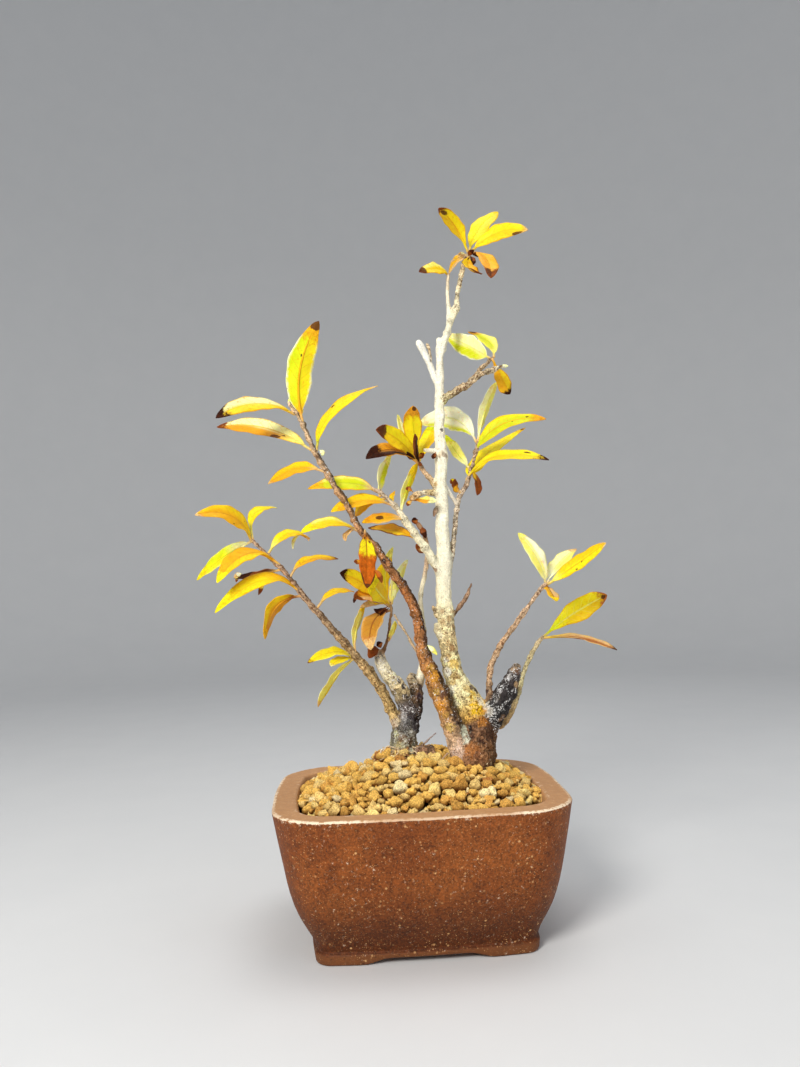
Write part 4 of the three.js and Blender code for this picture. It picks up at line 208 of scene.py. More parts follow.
        [(0, (0.95, 0.92, 0.78)), (1, (0.90, 0.84, 0.66)), (2, (0.86, 0.78, 0.56))], 0.5, 0.4, 0.2, 0.2, 0),
    'Tan': ('R', [(4.3, -9.0, 115.9, 1.00), (1.5, -8.0, 120.8, 0.80), (-1.0, -7.0, 125.7, 0.72), (-3.8, -6.0, 131.1, 0.67), (-6.3, -5.0, 135.2, 0.68), (-8.0, -4.0, 138.4, 0.56)],
        [(0, (0.50, 0.30, 0.16)), (2, (0.62, 0.45, 0.26)), (5, (0.62, 0.46, 0.28))], 0.3, 0.4, 0.1, 0.6, 9),
    'Root1': ('R', [(28.1, -6.0, 72.1, 3.58), (31.9, -9.0, 76.0, 2.00), (33.3, -9.0, 79.0, 1.11)],
        [(0, (0.40, 0.22, 0.10)), (1, (0.66, 0.50, 0.30)), (2, (0.72, 0.58, 0.40))], 0.8, 0.5, 0.4, 0.3, 0),
    'Pet7': ('R', [(33.5, 2.0, 307.6, 0.71), (29.9, 4.0, 306.9, 0.48), (25.8, 6.0, 305.3, 0.48)],
        [(0, (0.62, 0.42, 0.22)), (2, (0.62, 0.42, 0.22))], 0.3, 0.3, 0.2, 0.2, 0),
    'Bud1': ('R', [(15.7, 0.0, 186.3, 1.39), (12.9, -2.0, 185.2, 1.15), (12.1, -2.0, 182.5, 0.69)],
        [(0, (0.86, 0.78, 0.52)), (1, (0.50, 0.32, 0.20)), (2, (0.20, 0.10, 0.06))], 0.5, 0.5, 0.2, 0.2, 0),
}
# Patches of other colour on the bark, a few of them painted shade: middle and radius in mm, colour and strength.
PATCHES = [
    ((27.8, -8.5, 95.4), 4.2, (0.82, 0.50, 0.02), 0.95),
    ((25.0, -7.7, 100.7), 2.6, (0.80, 0.52, 0.05), 0.8),
    ((30.4, -8.5, 93.5), 2.6, (0.62, 0.28, 0.04), 0.8),
    ((28.6, -10.2, 89.5), 3.4, (0.55, 0.22, 0.04), 0.85),
    ((26.4, -10.2, 88.7), 2.0, (0.10, 0.04, 0.02), 0.9),
    ((30.9, -11.2, 83.9), 4.4, (0.09, 0.04, 0.02), 0.95),
    ((27.7, -11.2, 82.7), 3.0, (0.07, 0.03, 0.02), 0.9),
    ((23.6, -10.5, 87.1), 2.4, (0.020, 0.017, 0.020), 0.9),
    ((24.2, -11.2, 83.7), 2.6, (0.12, 0.06, 0.04), 0.8),
    ((20.8, -10.7, 86.0), 2.5, (0.62, 0.64, 0.50), 0.95),
    ((21.4, -11.5, 81.7), 2.4, (0.66, 0.68, 0.54), 0.95),
    ((18.6, -9.9, 83.3), 1.6, (0.60, 0.60, 0.46), 0.7),
    ((23.4, -12.2, 77.4), 4.2, (0.46, 0.18, 0.05), 0.9),
    ((26.4, -12.2, 74.7), 3.4, (0.22, 0.09, 0.04), 0.9),
    ((21.1, -12.2, 75.0), 2.6, (0.40, 0.20, 0.10), 0.6),
    ((17.2, -11.7, 76.8), 3.4, (0.78, 0.56, 0.42), 0.95),
    ((18.8, -10.9, 81.8), 2.0, (0.70, 0.46, 0.32), 0.8),
    ((15.7, -11.7, 72.1), 3.2, (0.74, 0.54, 0.38), 0.9),
    ((31.9, -9.1, 78.2), 2.0, (0.80, 0.66, 0.44), 0.85),
    ((30.1, -10.6, 72.9), 2.6, (0.80, 0.66, 0.42), 0.7),
    ((29.0, -11.4, 70.1), 2.6, (0.040, 0.018, 0.010), 0.9),
    ((29.7, -8.7, 99.3), 2.8, (0.88, 0.82, 0.62), 0.8),
    ((32.3, -8.7, 96.1), 2.4, (0.80, 0.76, 0.64), 0.7),
    ((28.6, -5.4, 103.0), 1.8, (0.050, 0.030, 0.040), 0.9),
    ((31.2, -6.4, 102.1), 2.0, (0.050, 0.030, 0.040), 0.9),
    ((25.8, -6.1, 104.5), 1.4, (0.07, 0.04, 0.04), 0.85),
    ((23.5, -5.4, 110.8), 1.3, (0.22, 0.13, 0.08), 0.7),
    ((22.4, -4.4, 113.0), 1.4, (0.45, 0.28, 0.12), 0.6),
    ((22.9, -7.7, 103.9), 2.2, (0.64, 0.44, 0.14), 0.7),
    ((21.2, -7.7, 106.7), 2.2, (0.84, 0.72, 0.36), 0.6),
    ((18.4, -5.9, 109.7), 2.4, (0.46, 0.28, 0.07), 0.75),
    ((18.6, -6.0, 115.1), 2.6, (0.80, 0.54, 0.12), 0.8),
    ((16.9, -5.9, 106.7), 1.8, (0.60, 0.38, 0.10), 0.6),
    ((14.9, -5.2, 111.6), 2.2, (0.95, 0.92, 0.76), 0.85),
    ((16.3, -6.2, 103.6), 2.4, (0.95, 0.92, 0.74), 0.85),
    ((13.8, -5.2, 117.0), 1.8, (0.95, 0.92, 0.76), 0.8),
    ((19.1, -6.9, 97.8), 2.2, (0.92, 0.86, 0.60), 0.7),
    ((17.7, -4.2, 122.1), 1.6, (0.34, 0.17, 0.06), 0.8),
    ((15.2, -5.0, 118.7), 1.5, (0.50, 0.30, 0.10), 0.6),
    ((16.5, -4.0, 124.4), 1.6, (0.62, 0.42, 0.18), 0.6),
    ((19.5, -3.2, 128.3), 1.8, (0.72, 0.50, 0.24), 0.6),
    ((12.6, -3.2, 127.7), 1.8, (0.90, 0.84, 0.60), 0.5),
    ((14.2, -3.2, 133.9), 1.6, (0.62, 0.42, 0.20), 0.7),
    ((17.0, -3.2, 135.2), 1.6, (0.55, 0.36, 0.16), 0.7),
    ((11.7, -4.2, 131.4), 1.6, (0.66, 0.50, 0.26), 0.5),
    ((18.5, -3.2, 138.3), 1.2, (0.72, 0.50, 0.26), 0.6),
    ((14.0, -3.2, 138.9), 1.0, (0.50, 0.30, 0.14), 0.6),
    ((18.8, -2.4, 131.9), 1.2, (0.42, 0.24, 0.10), 0.7),
    ((17.3, -2.3, 222.3), 0.9, (0.10, 0.08, 0.06), 0.95),
    ((15.9, -2.4, 211.5), 1.5, (0.70, 0.56, 0.36), 0.6),
    ((13.1, -2.4, 210.7), 1.2, (0.12, 0.06, 0.04), 0.9),
    ((19.1, -2.4, 210.1), 1.0, (0.32, 0.22, 0.14), 0.7),
    # the next three are painted shade along the collar of the side twig
    ((15.1, -2.4, 213.4), 0.8, (0.50, 0.42, 0.32), 0.6),
    ((17.7, -2.4, 210.6), 1.3, (0.36, 0.26, 0.17), 0.75),
    ((15.4, -2.4, 210.2), 1.0, (0.42, 0.32, 0.20), 0.6),
    ((20.1, -2.5, 234.8), 2.0, (0.74, 0.70, 0.34), 0.8),
    ((17.2, -2.3, 233.1), 1.2, (0.84, 0.82, 0.55), 0.6),
    ((16.5, -2.4, 189.7), 0.8, (0.80, 0.68, 0.48), 0.5),
    ((11.1, -2.4, 157.7), 1.3, (0.30, 0.16, 0.09), 0.85),
    ((14.4, -12.9, 88.4), 2.4, (0.72, 0.50, 0.14), 0.8),
    ((12.3, -13.9, 93.4), 1.8, (0.62, 0.36, 0.08), 0.7),
    ((11.2, -13.2, 97.7), 2.4, (0.76, 0.32, 0.03), 0.85),
    ((8.7, -14.2, 103.5), 2.0, (0.70, 0.44, 0.10), 0.7),
    ((8.1, -14.2, 110.5), 2.6, (0.72, 0.32, 0.03), 0.85),
    ((6.5, -14.2, 114.9), 2.0, (0.66, 0.36, 0.06), 0.7),
    ((11.1, -12.4, 102.8), 2.2, (0.13, 0.05, 0.03), 0.85),
    ((13.5, -12.4, 97.5), 2.0, (0.10, 0.04, 0.02), 0.85),
    ((16.0, -12.1, 92.5), 2.0, (0.060, 0.030, 0.020), 0.9),
    ((17.3, -11.4, 90.2), 1.6, (0.040, 0.020, 0.020), 0.9),
    ((7.5, -13.4, 117.9), 1.8, (0.46, 0.20, 0.07), 0.7),
    ((4.0, -15.2, 121.7), 1.6, (0.50, 0.26, 0.10), 0.6),
    ((5.2, -13.6, 126.7), 1.6, (0.060, 0.022, 0.012), 0.85),
    ((4.9, -13.6, 132.0), 1.6, (0.050, 0.020, 0.012), 0.85),
    ((4.6, -14.6, 137.8), 1.4, (0.10, 0.04, 0.02), 0.8),
    ((-22.0, -16.4, 174.6), 1.3, (0.030, 0.015, 0.012), 0.95),
    ((-12.7, -16.4, 162.0), 1.4, (0.050, 0.020, 0.014), 0.95),
    ((-14.8, -16.4, 164.3), 1.2, (0.10, 0.04, 0.02), 0.8),
    ((-27.7, -16.4, 187.6), 1.0, (0.14, 0.06, 0.03), 0.8),
    ((-33.5, -16.4, 197.5), 1.2, (0.34, 0.16, 0.05), 0.7),
    ((-40.2, -16.4, 209.2), 1.3, (0.22, 0.09, 0.04), 0.8),
    ((-44.8, -16.4, 217.8), 1.1, (0.20, 0.09, 0.04), 0.8),
    ((-47.3, -15.6, 223.3), 1.0, (0.24, 0.10, 0.04), 0.7),
    ((37.3, -12.7, 103.5), 1.8, (0.62, 0.60, 0.60), 0.6),
    ((41.4, -11.1, 109.3), 1.6, (0.66, 0.64, 0.62), 0.65),
    ((34.9, -12.5, 99.2), 1.6, (0.50, 0.48, 0.46), 0.6),
    ((44.4, -10.3, 112.2), 1.8, (0.42, 0.28, 0.16), 0.85),
    ((45.7, -10.3, 110.8), 1.3, (0.14, 0.06, 0.03), 0.8),
    ((45.0, -10.3, 105.1), 1.8, (0.50, 0.32, 0.16), 0.7),
    ((32.5, -12.2, 94.0), 2.0, (0.64, 0.60, 0.52), 0.6),
    ((38.1, -12.4, 90.3), 2.0, (0.22, 0.12, 0.06), 0.7),
    ((-9.5, 3.3, 83.7), 2.4, (0.62, 0.62, 0.36), 0.8),
    ((-10.3, 3.3, 86.0), 1.4, (0.20, 0.12, 0.06), 0.7),
    ((-5.9, 3.3, 81.7), 2.2, (0.24, 0.14, 0.07), 0.75),
    ((-3.2, 3.3, 79.8), 2.2, (0.18, 0.10, 0.05), 0.75),
    ((-7.8, 3.3, 78.2), 2.0, (0.60, 0.50, 0.22), 0.6),
    ((-2.0, 4.3, 84.6), 1.8, (0.60, 0.60, 0.48), 0.6),
    ((-11.1, 4.1, 88.2), 2.8, (0.86, 0.68, 0.50), 0.85),
    ((-8.3, 3.8, 89.0), 1.8, (0.88, 0.76, 0.56), 0.6),
    ((-4.5, 4.3, 91.5), 2.4, (0.62, 0.60, 0.58), 0.55),
    ((-0.9, 4.3, 91.3), 3.0, (0.07, 0.06, 0.07), 0.85),
    ((0.4, 5.1, 85.7), 2.2, (0.060, 0.050, 0.060), 0.9),
    ((-4.7, 4.3, 86.9), 1.8, (0.34, 0.31, 0.30), 0.6),
    ((-3.5, 4.3, 95.9), 1.8, (0.18, 0.15, 0.14), 0.6),
    ((-8.2, 2.0, 96.5), 1.2, (0.12, 0.06, 0.03), 0.85),
    ((-10.7, 1.8, 102.9), 1.1, (0.16, 0.08, 0.04), 0.85),
    ((-13.8, 0.8, 108.6), 1.0, (0.22, 0.11, 0.05), 0.8),
    ((-7.3, 3.8, 92.6), 1.0, (0.25, 0.14, 0.08), 0.7),
    ((-4.4, 5.8, 104.9), 1.5, (0.07, 0.06, 0.06), 0.9),
    ((-5.7, 5.8, 107.7), 1.4, (0.07, 0.06, 0.06), 0.9),
    ((-3.7, 5.8, 100.3), 1.4, (0.07, 0.06, 0.06), 0.85),
    ((-11.3, 4.2, 109.5), 1.8, (0.56, 0.36, 0.14), 0.75),
    ((-9.5, 4.2, 106.2), 1.6, (0.74, 0.56, 0.26), 0.6),
    ((-12.9, 6.0, 113.5), 2.0, (0.92, 0.87, 0.66), 0.7),
    ((-15.5, 6.0, 117.2), 1.8, (0.90, 0.84, 0.64), 0.7),
    ((0.5, 7.0, 98.1), 2.0, (0.20, 0.11, 0.05), 0.7),
    ((3.1, 8.6, 99.7), 1.8, (0.08, 0.05, 0.06), 0.9),
    ((4.1, 8.6, 103.3), 1.4, (0.08, 0.05, 0.05), 0.9),
    ((2.2, 7.8, 102.6), 1.3, (0.36, 0.20, 0.09), 0.7),
    ((3.9, 8.6, 108.9), 1.8, (0.92, 0.88, 0.68), 0.8),
    ((5.0, 9.6, 112.4), 1.6, (0.92, 0.90, 0.70), 0.8),
    ((0.5, 7.8, 107.2), 1.6, (0.50, 0.42, 0.26), 0.6),
    ((-27.1, -6.2, 120.5), 1.6, (0.28, 0.14, 0.07), 0.8),
    ((-25.4, -5.2, 117.2), 1.3, (0.22, 0.11, 0.06), 0.8),
    ((-41.0, -10.4, 143.3), 1.2, (0.36, 0.20, 0.12), 0.7),
    ((-49.5, -12.4, 149.8), 1.3, (0.30, 0.15, 0.07), 0.8),
    ((-42.4, -10.4, 140.3), 0.9, (0.24, 0.13, 0.08), 0.7),
    ((-36.4, -8.4, 133.8), 1.0, (0.30, 0.22, 0.13), 0.6),
    ((57.0, 8.4, 116.0), 1.1, (0.28, 0.17, 0.08), 0.8),
    ((61.6, 10.4, 123.2), 1.1, (0.36, 0.19, 0.08), 0.7),
    ((49.9, 2.4, 102.1), 1.6, (0.50, 0.30, 0.13), 0.7),
    ((43.6, -3.3, 92.2), 1.8, (0.66, 0.46, 0.20), 0.6),
    ((36.9, -10.6, 117.4), 1.0, (0.72, 0.60, 0.44), 0.5),
    ((41.5, -12.6, 126.6), 0.9, (0.72, 0.60, 0.44), 0.5),
    ((46.8, -14.6, 134.9), 0.9, (0.34, 0.20, 0.10), 0.6),
    ((58.5, -17.6, 148.6), 1.2, (0.42, 0.20, 0.08), 0.7),
    ((33.0, -8.3, 100.0), 1.4, (0.22, 0.10, 0.05), 0.7),
    ((24.1, 0.5, 279.9), 0.8, (0.16, 0.10, 0.06), 0.85),
    ((28.3, 0.5, 278.4), 0.8, (0.26, 0.16, 0.09), 0.8),
    ((26.8, 0.5, 276.0), 0.7, (0.20, 0.12, 0.07), 0.8),
    ((33.2, 0.5, 305.0), 1.4, (0.30, 0.15, 0.07), 0.8),
    ((26.4, -5.3, 240.2), 1.2, (0.42, 0.22, 0.08), 0.8),
    ((24.1, -5.3, 238.8), 1.0, (0.30, 0.16, 0.07), 0.7),
    ((31.1, -6.3, 243.1), 0.9, (0.32, 0.18, 0.09), 0.7),
    ((13.3, -3.5, 255.0), 0.8, (0.14, 0.10, 0.07), 0.8),
    ((21.2, 2.4, 187.8), 0.8, (0.40, 0.28, 0.20), 0.5),
    ((21.7, 2.4, 178.4), 0.9, (0.42, 0.30, 0.20), 0.5),
    ((20.3, 1.4, 167.7), 0.8, (0.45, 0.32, 0.22), 0.5),
    ((28.1, 5.4, 196.9), 1.0, (0.34, 0.20, 0.12), 0.7),
    ((13.6, -1.4, 197.3), 1.2, (0.62, 0.38, 0.12), 0.7),
    ((12.3, -1.4, 200.1), 1.0, (0.34, 0.20, 0.10), 0.7),
    ((7.9, -4.4, 188.8), 1.3, (0.74, 0.48, 0.10), 0.8),
    ((1.4, -6.4, 191.0), 1.6, (0.60, 0.36, 0.12), 0.8),
]
# Fine roots: points in mm, radius and colour.
ROOTS = [
    ([(-5.3, 3.0, 73.7), (-9.0, 0.0, 76.2), (-12.7, -2.0, 77.7), (-15.0, -3.0, 75.8)], 0.45, (0.80, 0.66, 0.46)),
    ([(-7.0, 3.0, 75.6), (-10.4, 0.0, 75.4), (-13.3, -3.0, 73.9)], 0.4, (0.84, 0.74, 0.58)),
    ([(-5.8, 2.0, 73.0), (-3.0, -3.0, 72.1), (1.0, -8.0, 71.2)], 0.55, (0.84, 0.72, 0.44)),
    ([(-8.1, 2.0, 72.2), (-5.0, -5.0, 71.3), (-0.9, -9.0, 70.6)], 0.4, (0.86, 0.78, 0.56)),
    ([(-14.5, -2.0, 76.9), (-15.9, -3.0, 76.2), (-15.6, -4.0, 73.8)], 0.35, (0.84, 0.76, 0.66)),
    ([(-6.0, 4.0, 75.3), (-11.0, -2.0, 74.5), (-16.6, -6.0, 72.5)], 0.45, (0.66, 0.48, 0.26)),
    ([(31.9, -9.0, 76.0), (34.0, -10.0, 77.8), (34.3, -9.0, 80.3)], 0.5, (0.70, 0.58, 0.42)),
    ([(30.7, -10.0, 74.5), (31.6, -12.0, 72.2), (29.9, -14.0, 70.1)], 0.5, (0.78, 0.62, 0.38)),
    ([(13.5, -9.0, 74.7), (11.3, -12.0, 73.6), (9.7, -14.0, 72.0)], 0.4, (0.62, 0.42, 0.28)),
]
# The camera stands where the picture was taken: place in metres, then the directions of its right, up and back.
CAMERA_AT = (-0.02923, -0.38015, 0.14909)
CAMERA_AXES = ((0.997304, -0.064538, -0.034912), (0.030370, -0.070064, 0.997080), (-0.066795, -0.995453, -0.067915))
LENS_MM = 28.004  # on a 36 mm long side

PALETTE = {
    "bright": (0.93, 0.74, 0.012),
    "yellow": (0.90, 0.59, 0.012),
    "gold": (0.83, 0.42, 0.012),
    "orange": (0.74, 0.33, 0.018),
    "dorange": (0.54, 0.120, 0.006),
    "green": (0.60, 0.64, 0.012),
    "lime": (0.66, 0.72, 0.010),
    "pale": (0.92, 0.83, 0.17),
    "cream": (0.93, 0.88, 0.40),
    "white": (0.95, 0.92, 0.64),
    "tan": (0.74, 0.47, 0.19),
    "rust": (0.45, 0.15, 0.03),
    "ochre": (0.52, 0.25, 0.030),
    "brown": (0.20, 0.050, 0.008),
    "umber": (0.27, 0.075, 0.015),
    "dark": (0.034, 0.008, 0.002),
}
# The colour for the lower wall near the foot is painted shade.
POT_COLOURS = dict(painted_foot_shade=(0.088, 0.022, 0.005), body=(0.180, 0.045, 0.0075), warm=(0.245, 0.068, 0.012), rim=(0.49, 0.255, 0.115), rim_wear_and_highlight=(0.88, 0.72, 0.52), speck=(0.74, 0.42, 0.17))


# ---------------------------------------------------------------- small tools
def col(name):
    return np.array(PALETTE[name])


def step(x, lo, hi):
    t = np.clip((np.asarray(x, float) - lo) / (hi - lo), 0, 1)
    return t * t * (3 - 2 * t)


def lerp(a, b, t):
    t = np.asarray(t, float)
    return a + (b - a) * (t[..., None] if t.ndim and np.ndim(a) > t.ndim else t)


def unit(v):
    v = np.asarray(v, float)
    return v / np.maximum(np.linalg.norm(v, axis=-1, keepdims=True), 1e-9)


def field(points, scale, seed=0.0):
    """Smooth noise, about -1 to 1, at points given in mm, with features of about scale mm."""
    off = Vector((17.3 * seed + 0.37, -9.1 * seed + 1.7, 5.9 * seed - 2.3))
    k = 1.0 / scale
    return np.array([noise.noise(Vector(p) * k + off) for p in points.tolist()]) * 1.6


def build(name, v, faces, mat, attrs=None, smooth=True, ride=True):
    """A mesh object from points in mm. attrs: name -> array with 3 or 4 columns."""
    me = bpy.data.meshes.new(name)
    me.from_pydata((np.asarray(v, float) * MM).tolist(), [], [list(map(int, f)) for f in faces])
    for key, data in (attrs or {}).items():
        data = np.asarray(data, np.float32)
        if key in ("leaf", "bark"):
            a = me.attributes.new(key, "FLOAT_VECTOR", "POINT")
            a.data.foreach_set("vector", data.ravel())
        else:
            if data.shape[1] == 3:
                data = np.hstack([data, np.ones((len(data), 1), np.float32)])
            a = me.attributes.new(key, "FLOAT_COLOR", "POINT")
            a.data.foreach_set("color", data.ravel())
    me.materials.append(mat)
    if smooth:
        me.polygons.foreach_set("use_smooth", [True] * len(me.polygons))
    me.update()
    ob = bpy.data.objects.new(name, me)
    bpy.context.scene.collection.objects.link(ob)
    if ride:
        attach(ob, "root")
    return ob


class Shape:
    """Gathers points, faces and attributes of one piece."""

    def __init__(self, *keys):
        self.v, self.f, self.n = [], [], 0
        self.a = {k: [] for k in keys}

    def add(self, v, faces, **attrs):
        v = np.asarray(v, float)
        self.f += [[i + self.n for i in f] for f in faces]
        self.v.append(v)
        self.n += len(v)
        for k in self.a:
            d = np.asarray(attrs[k], float)
            self.a[k].append(np.broadcast_to(d, (len(v), d.shape[-1])) if d.ndim == 1 else d)

    def make(self, name, mat, smooth=True):
        return build(name, np.vstack(self.v), self.f, mat, {k: np.vstack(d) for k, d in self.a.items()}, smooth)


class Mat:
    """A short way to write a node material."""

    def __init__(self, name):
        self.m = bpy.data.materials.new(name)
        self.m.use_nodes = True
        self.t = self.m.node_tree
        self.t.nodes.clear()
        out = self.t.nodes.new("ShaderNodeOutputMaterial")
        self.b = self.t.nodes.new("ShaderNodeBsdfPrincipled")
        self.t.links.new(self.b.outputs[0], out.inputs[0])

    def put(self, sock, v):
        if isinstance(v, bpy.types.NodeSocket):
            self.t.links.new(v, sock)
        elif hasattr(v, "__len__") and len(v) == 3 and len(sock.default_value) == 4:
            sock.default_value = (*v, 1.0)
        else:
            sock.default_value = v

    def node(self, kind, ins=(), **props):
        x = self.t.nodes.new("ShaderNode" + kind)
        for k, v in props.items():
            setattr(x, k, v)
        for k, v in dict(ins).items():
            self.put(x.inputs[k], v)
        return x

    def mm(self):
        """Place on the object in mm."""
        c = self.node("TexCoord").outputs["Object"]
        x = self.node("VectorMath", {0: c}, operation="SCALE")
        x.inputs["Scale"].default_value = 1000.0
        return x.outputs[0]

    def attr(self, name, what="Color"):
        return self.node("Attribute", attribute_name=name, attribute_type="GEOMETRY").outputs[what]

    def split(self, colour):
        x = self.node("SeparateColor", {0: colour})
        return x.outputs[0], x.outputs[1], x.outputs[2]

    def xyz(self, vector):
        x = self.node("SeparateXYZ", {0: vector})
        return x.outputs[0], x.outputs[1], x.outputs[2]

    def noise(self, vec, scale, detail=3.0, rough=0.55, distortion=0.0):
        return self.node("TexNoise", {"Vector": vec, "Scale": scale, "Detail": detail, "Roughness": rough, "Distortion": distortion}).outputs["Fac"]

    def cells(self, vec, scale, randomness=1.0):
        x = self.node("TexVoronoi", {"Vector": vec, "Scale": scale, "Randomness": randomness})
        return x.outputs["Distance"], x.outputs["Color"]

    def math(self, op, a, b=0.0, c=None, clamp=False):
        ins = {0: a, 1: b}
        if c is not None:
            ins[2] = c
        return self.node("Math", ins, operation=op, use_clamp=clamp).outputs[0]

    def smooth(self, x, lo, hi, a=0.0, b=1.0):
        return self.node("MapRange", {"Value": x, "From Min": lo, "From Max": hi, "To Min": a, "To Max": b}, interpolation_type="SMOOTHSTEP").outputs["Result"]

    def mix(self, fac, a, b, mode="MIX"):
        x = self.node("Mix", data_type="RGBA", blend_type=mode)
        self.put(x.inputs[0], fac)
        self.put(x.inputs[6], a)
        self.put(x.inputs[7], b)
        return x.outputs[2]

    def gain(self, colour, g):
        """colour times a number socket."""
        x = self.node("VectorMath", {0: colour}, operation="SCALE")
        self.put(x.inputs["Scale"], g)
        return x.outputs[0]

    def bump(self, height, strength, distance_mm, normal=None):
        ins = {"Height": height, "Strength": strength, "Distance": distance_mm * MM}
        if normal is not None:
            ins["Normal"] = normal
        return self.node("Bump", ins).outputs[0]

    def finish(self, colour=None, rough=None, normal=None, **fixed):
        if colour is not None:
            self.put(self.b.inputs["Base Color"], colour)
        if rough is not None:
            self.put(self.b.inputs["Roughness"], rough)
        if normal is not None:
            self.put(self.b.inputs["Normal"], normal)
        for k, v in fixed.items():
            self.b.inputs[k.replace("_", " ")].default_value = v
        return self.m


# ---------------------------------------------------------------- camera and stage
def make_camera():
    cam = bpy.data.objects.new("camera", bpy.data.cameras.new("camera"))
    bpy.context.scene.collection.objects.link(cam)
    r, u, b = CAMERA_AXES
    cam.matrix_world = Matrix(((r[0], u[0], b[0], CAMERA_AT[0]), (r[1], u[1], b[1], CAMERA_AT[1]), (r[2], u[2], b[2], CAMERA_AT[2]), (0, 0, 0, 1)))
    cam.data.sensor_width = 36.0
    cam.data.lens = LENS_MM
    cam.data.clip_start, cam.data.clip_end = 0.01, 50
    bpy.context.scene.camera = cam


def soft_light(name, place, aim, size, watts, colour):
    d = bpy.data.lights.new(name, "AREA")
    d.shape, d.size, d.energy, d.color = "DISK", size, watts, colour
    o = bpy.data.objects.new(name, d)
    bpy.context.scene.collection.objects.link(o)
    o.location = place
    o.rotation_euler = (Vector(aim) - Vector(place)).to_track_quat("-Z", "Y").to_euler()


def make_stage():
    m = Mat("stage_paper")
    n = m.noise(m.mm(), 0.02, 3)
    floor_mat = m.finish(m.mix(n, (0.70, 0.71, 0.72), (0.74, 0.745, 0.75)), 0.75)
    profile = [(0, 0), (300, 0), (700, 0), (1100, 0), (1250, 8), (1400, 50), (1530, 140), (1620, 270), (1670, 430), (1690, 700), (1700, 1500), (1700, 2300)]
    n_side = 96
    v, f = [], []
    for r, z in profile[1:]:
        for k in range(n_side):
            a = 2 * math.pi * k / n_side
            v.append((r * math.cos(a), r * math.sin(a), z - 0.2))
    v.append((0, 0, -0.2))
    for i in range(len(profile) - 2):
        for k in range(n_side):
            f.append((i * n_side + (k + 1) % n_side, i * n_side + k, (i + 1) * n_side + k, (i + 1) * n_side + (k + 1) % n_side))
    f += [(len(v) - 1, k, (k + 1) % n_side) for k in range(n_side)]
    build("studio_floor", v, f, floor_mat, ride=False)
    world = bpy.data.worlds.new("studio")
    world.use_nodes = True
    bg = world.node_tree.nodes["Background"]
    bg.inputs[0].default_value = (0.92, 0.95, 1.0, 1)
    bg.inputs[1].default_value = 0.42
    bpy.context.scene.world = world
    soft_light("key", (-0.42, -0.74, 0.62), (0, 0, 0.17), 0.34, 8.6, (1.0, 0.97, 0.92))
    soft_light("fill", (0.60, -0.60, 0.30), (0, 0, 0.12), 0.70, 1.1, (0.95, 0.97, 1.0))
    soft_light("top", (0.10, 0.05, 1.05), (0, 0, 0.1), 0.6, 3.0, (1.0, 0.99, 0.97))
    view = bpy.context.scene.view_settings
    view.view_transform, view.look = "Standard", "None"


# ---------------------------------------------------------------- pot
RIM_HALF_LENGTH, RIM_HALF_DEPTH, RIM_CORNER, BOW_X, BOW_Y = 60.0, 50.2, 19.2, 3.6, 3.5
DRAIN_RADIUS = 9.0


def outline(by, corner_steps=12, side_steps=22):
    """The plan of the pot drawn in by an equal amount: a rectangle with rounded corners and sides that bow out."""
    share = 1 - by / RIM_HALF_LENGTH
    a, b = RIM_HALF_LENGTH - by, RIM_HALF_DEPTH - by
    c = max(4.0, RIM_CORNER - 0.95 * by)
    ox, oy = a - c, b - c
    pts = []
    for start, (sx, sy) in enumerate([(1, 1), (-1, 1), (-1, -1), (1, -1)]):
        for k in range(corner_steps + 1):
            t = (start + k / corner_steps) * math.pi / 2
            pts.append((sx * ox + c * math.cos(t), sy * oy + c * math.sin(t)))
        nx, ny = [(-1, 1), (-1, -1), (1, -1), (1, 1)][start]
        for k in range(1, side_steps):
            t = k / side_steps
            pts.append((sx * ox + (nx * ox - sx * ox) * t, sy * b) if start % 2 == 0 else (sx * a, sy * oy + (ny * oy - sy * oy) * t))
    p = np.array(pts)
    qx, qy = np.minimum(1, abs(p[:, 0]) / a), np.minimum(1, abs(p[:, 1]) / b)
    return np.stack([p[:, 0] + np.sign(p[:, 0]) * BOW_X * share * (1 - qy * qy) * qx, p[:, 1] + np.sign(p[:, 1]) * BOW_Y * share * (1 - qx * qx) * qy], 1)


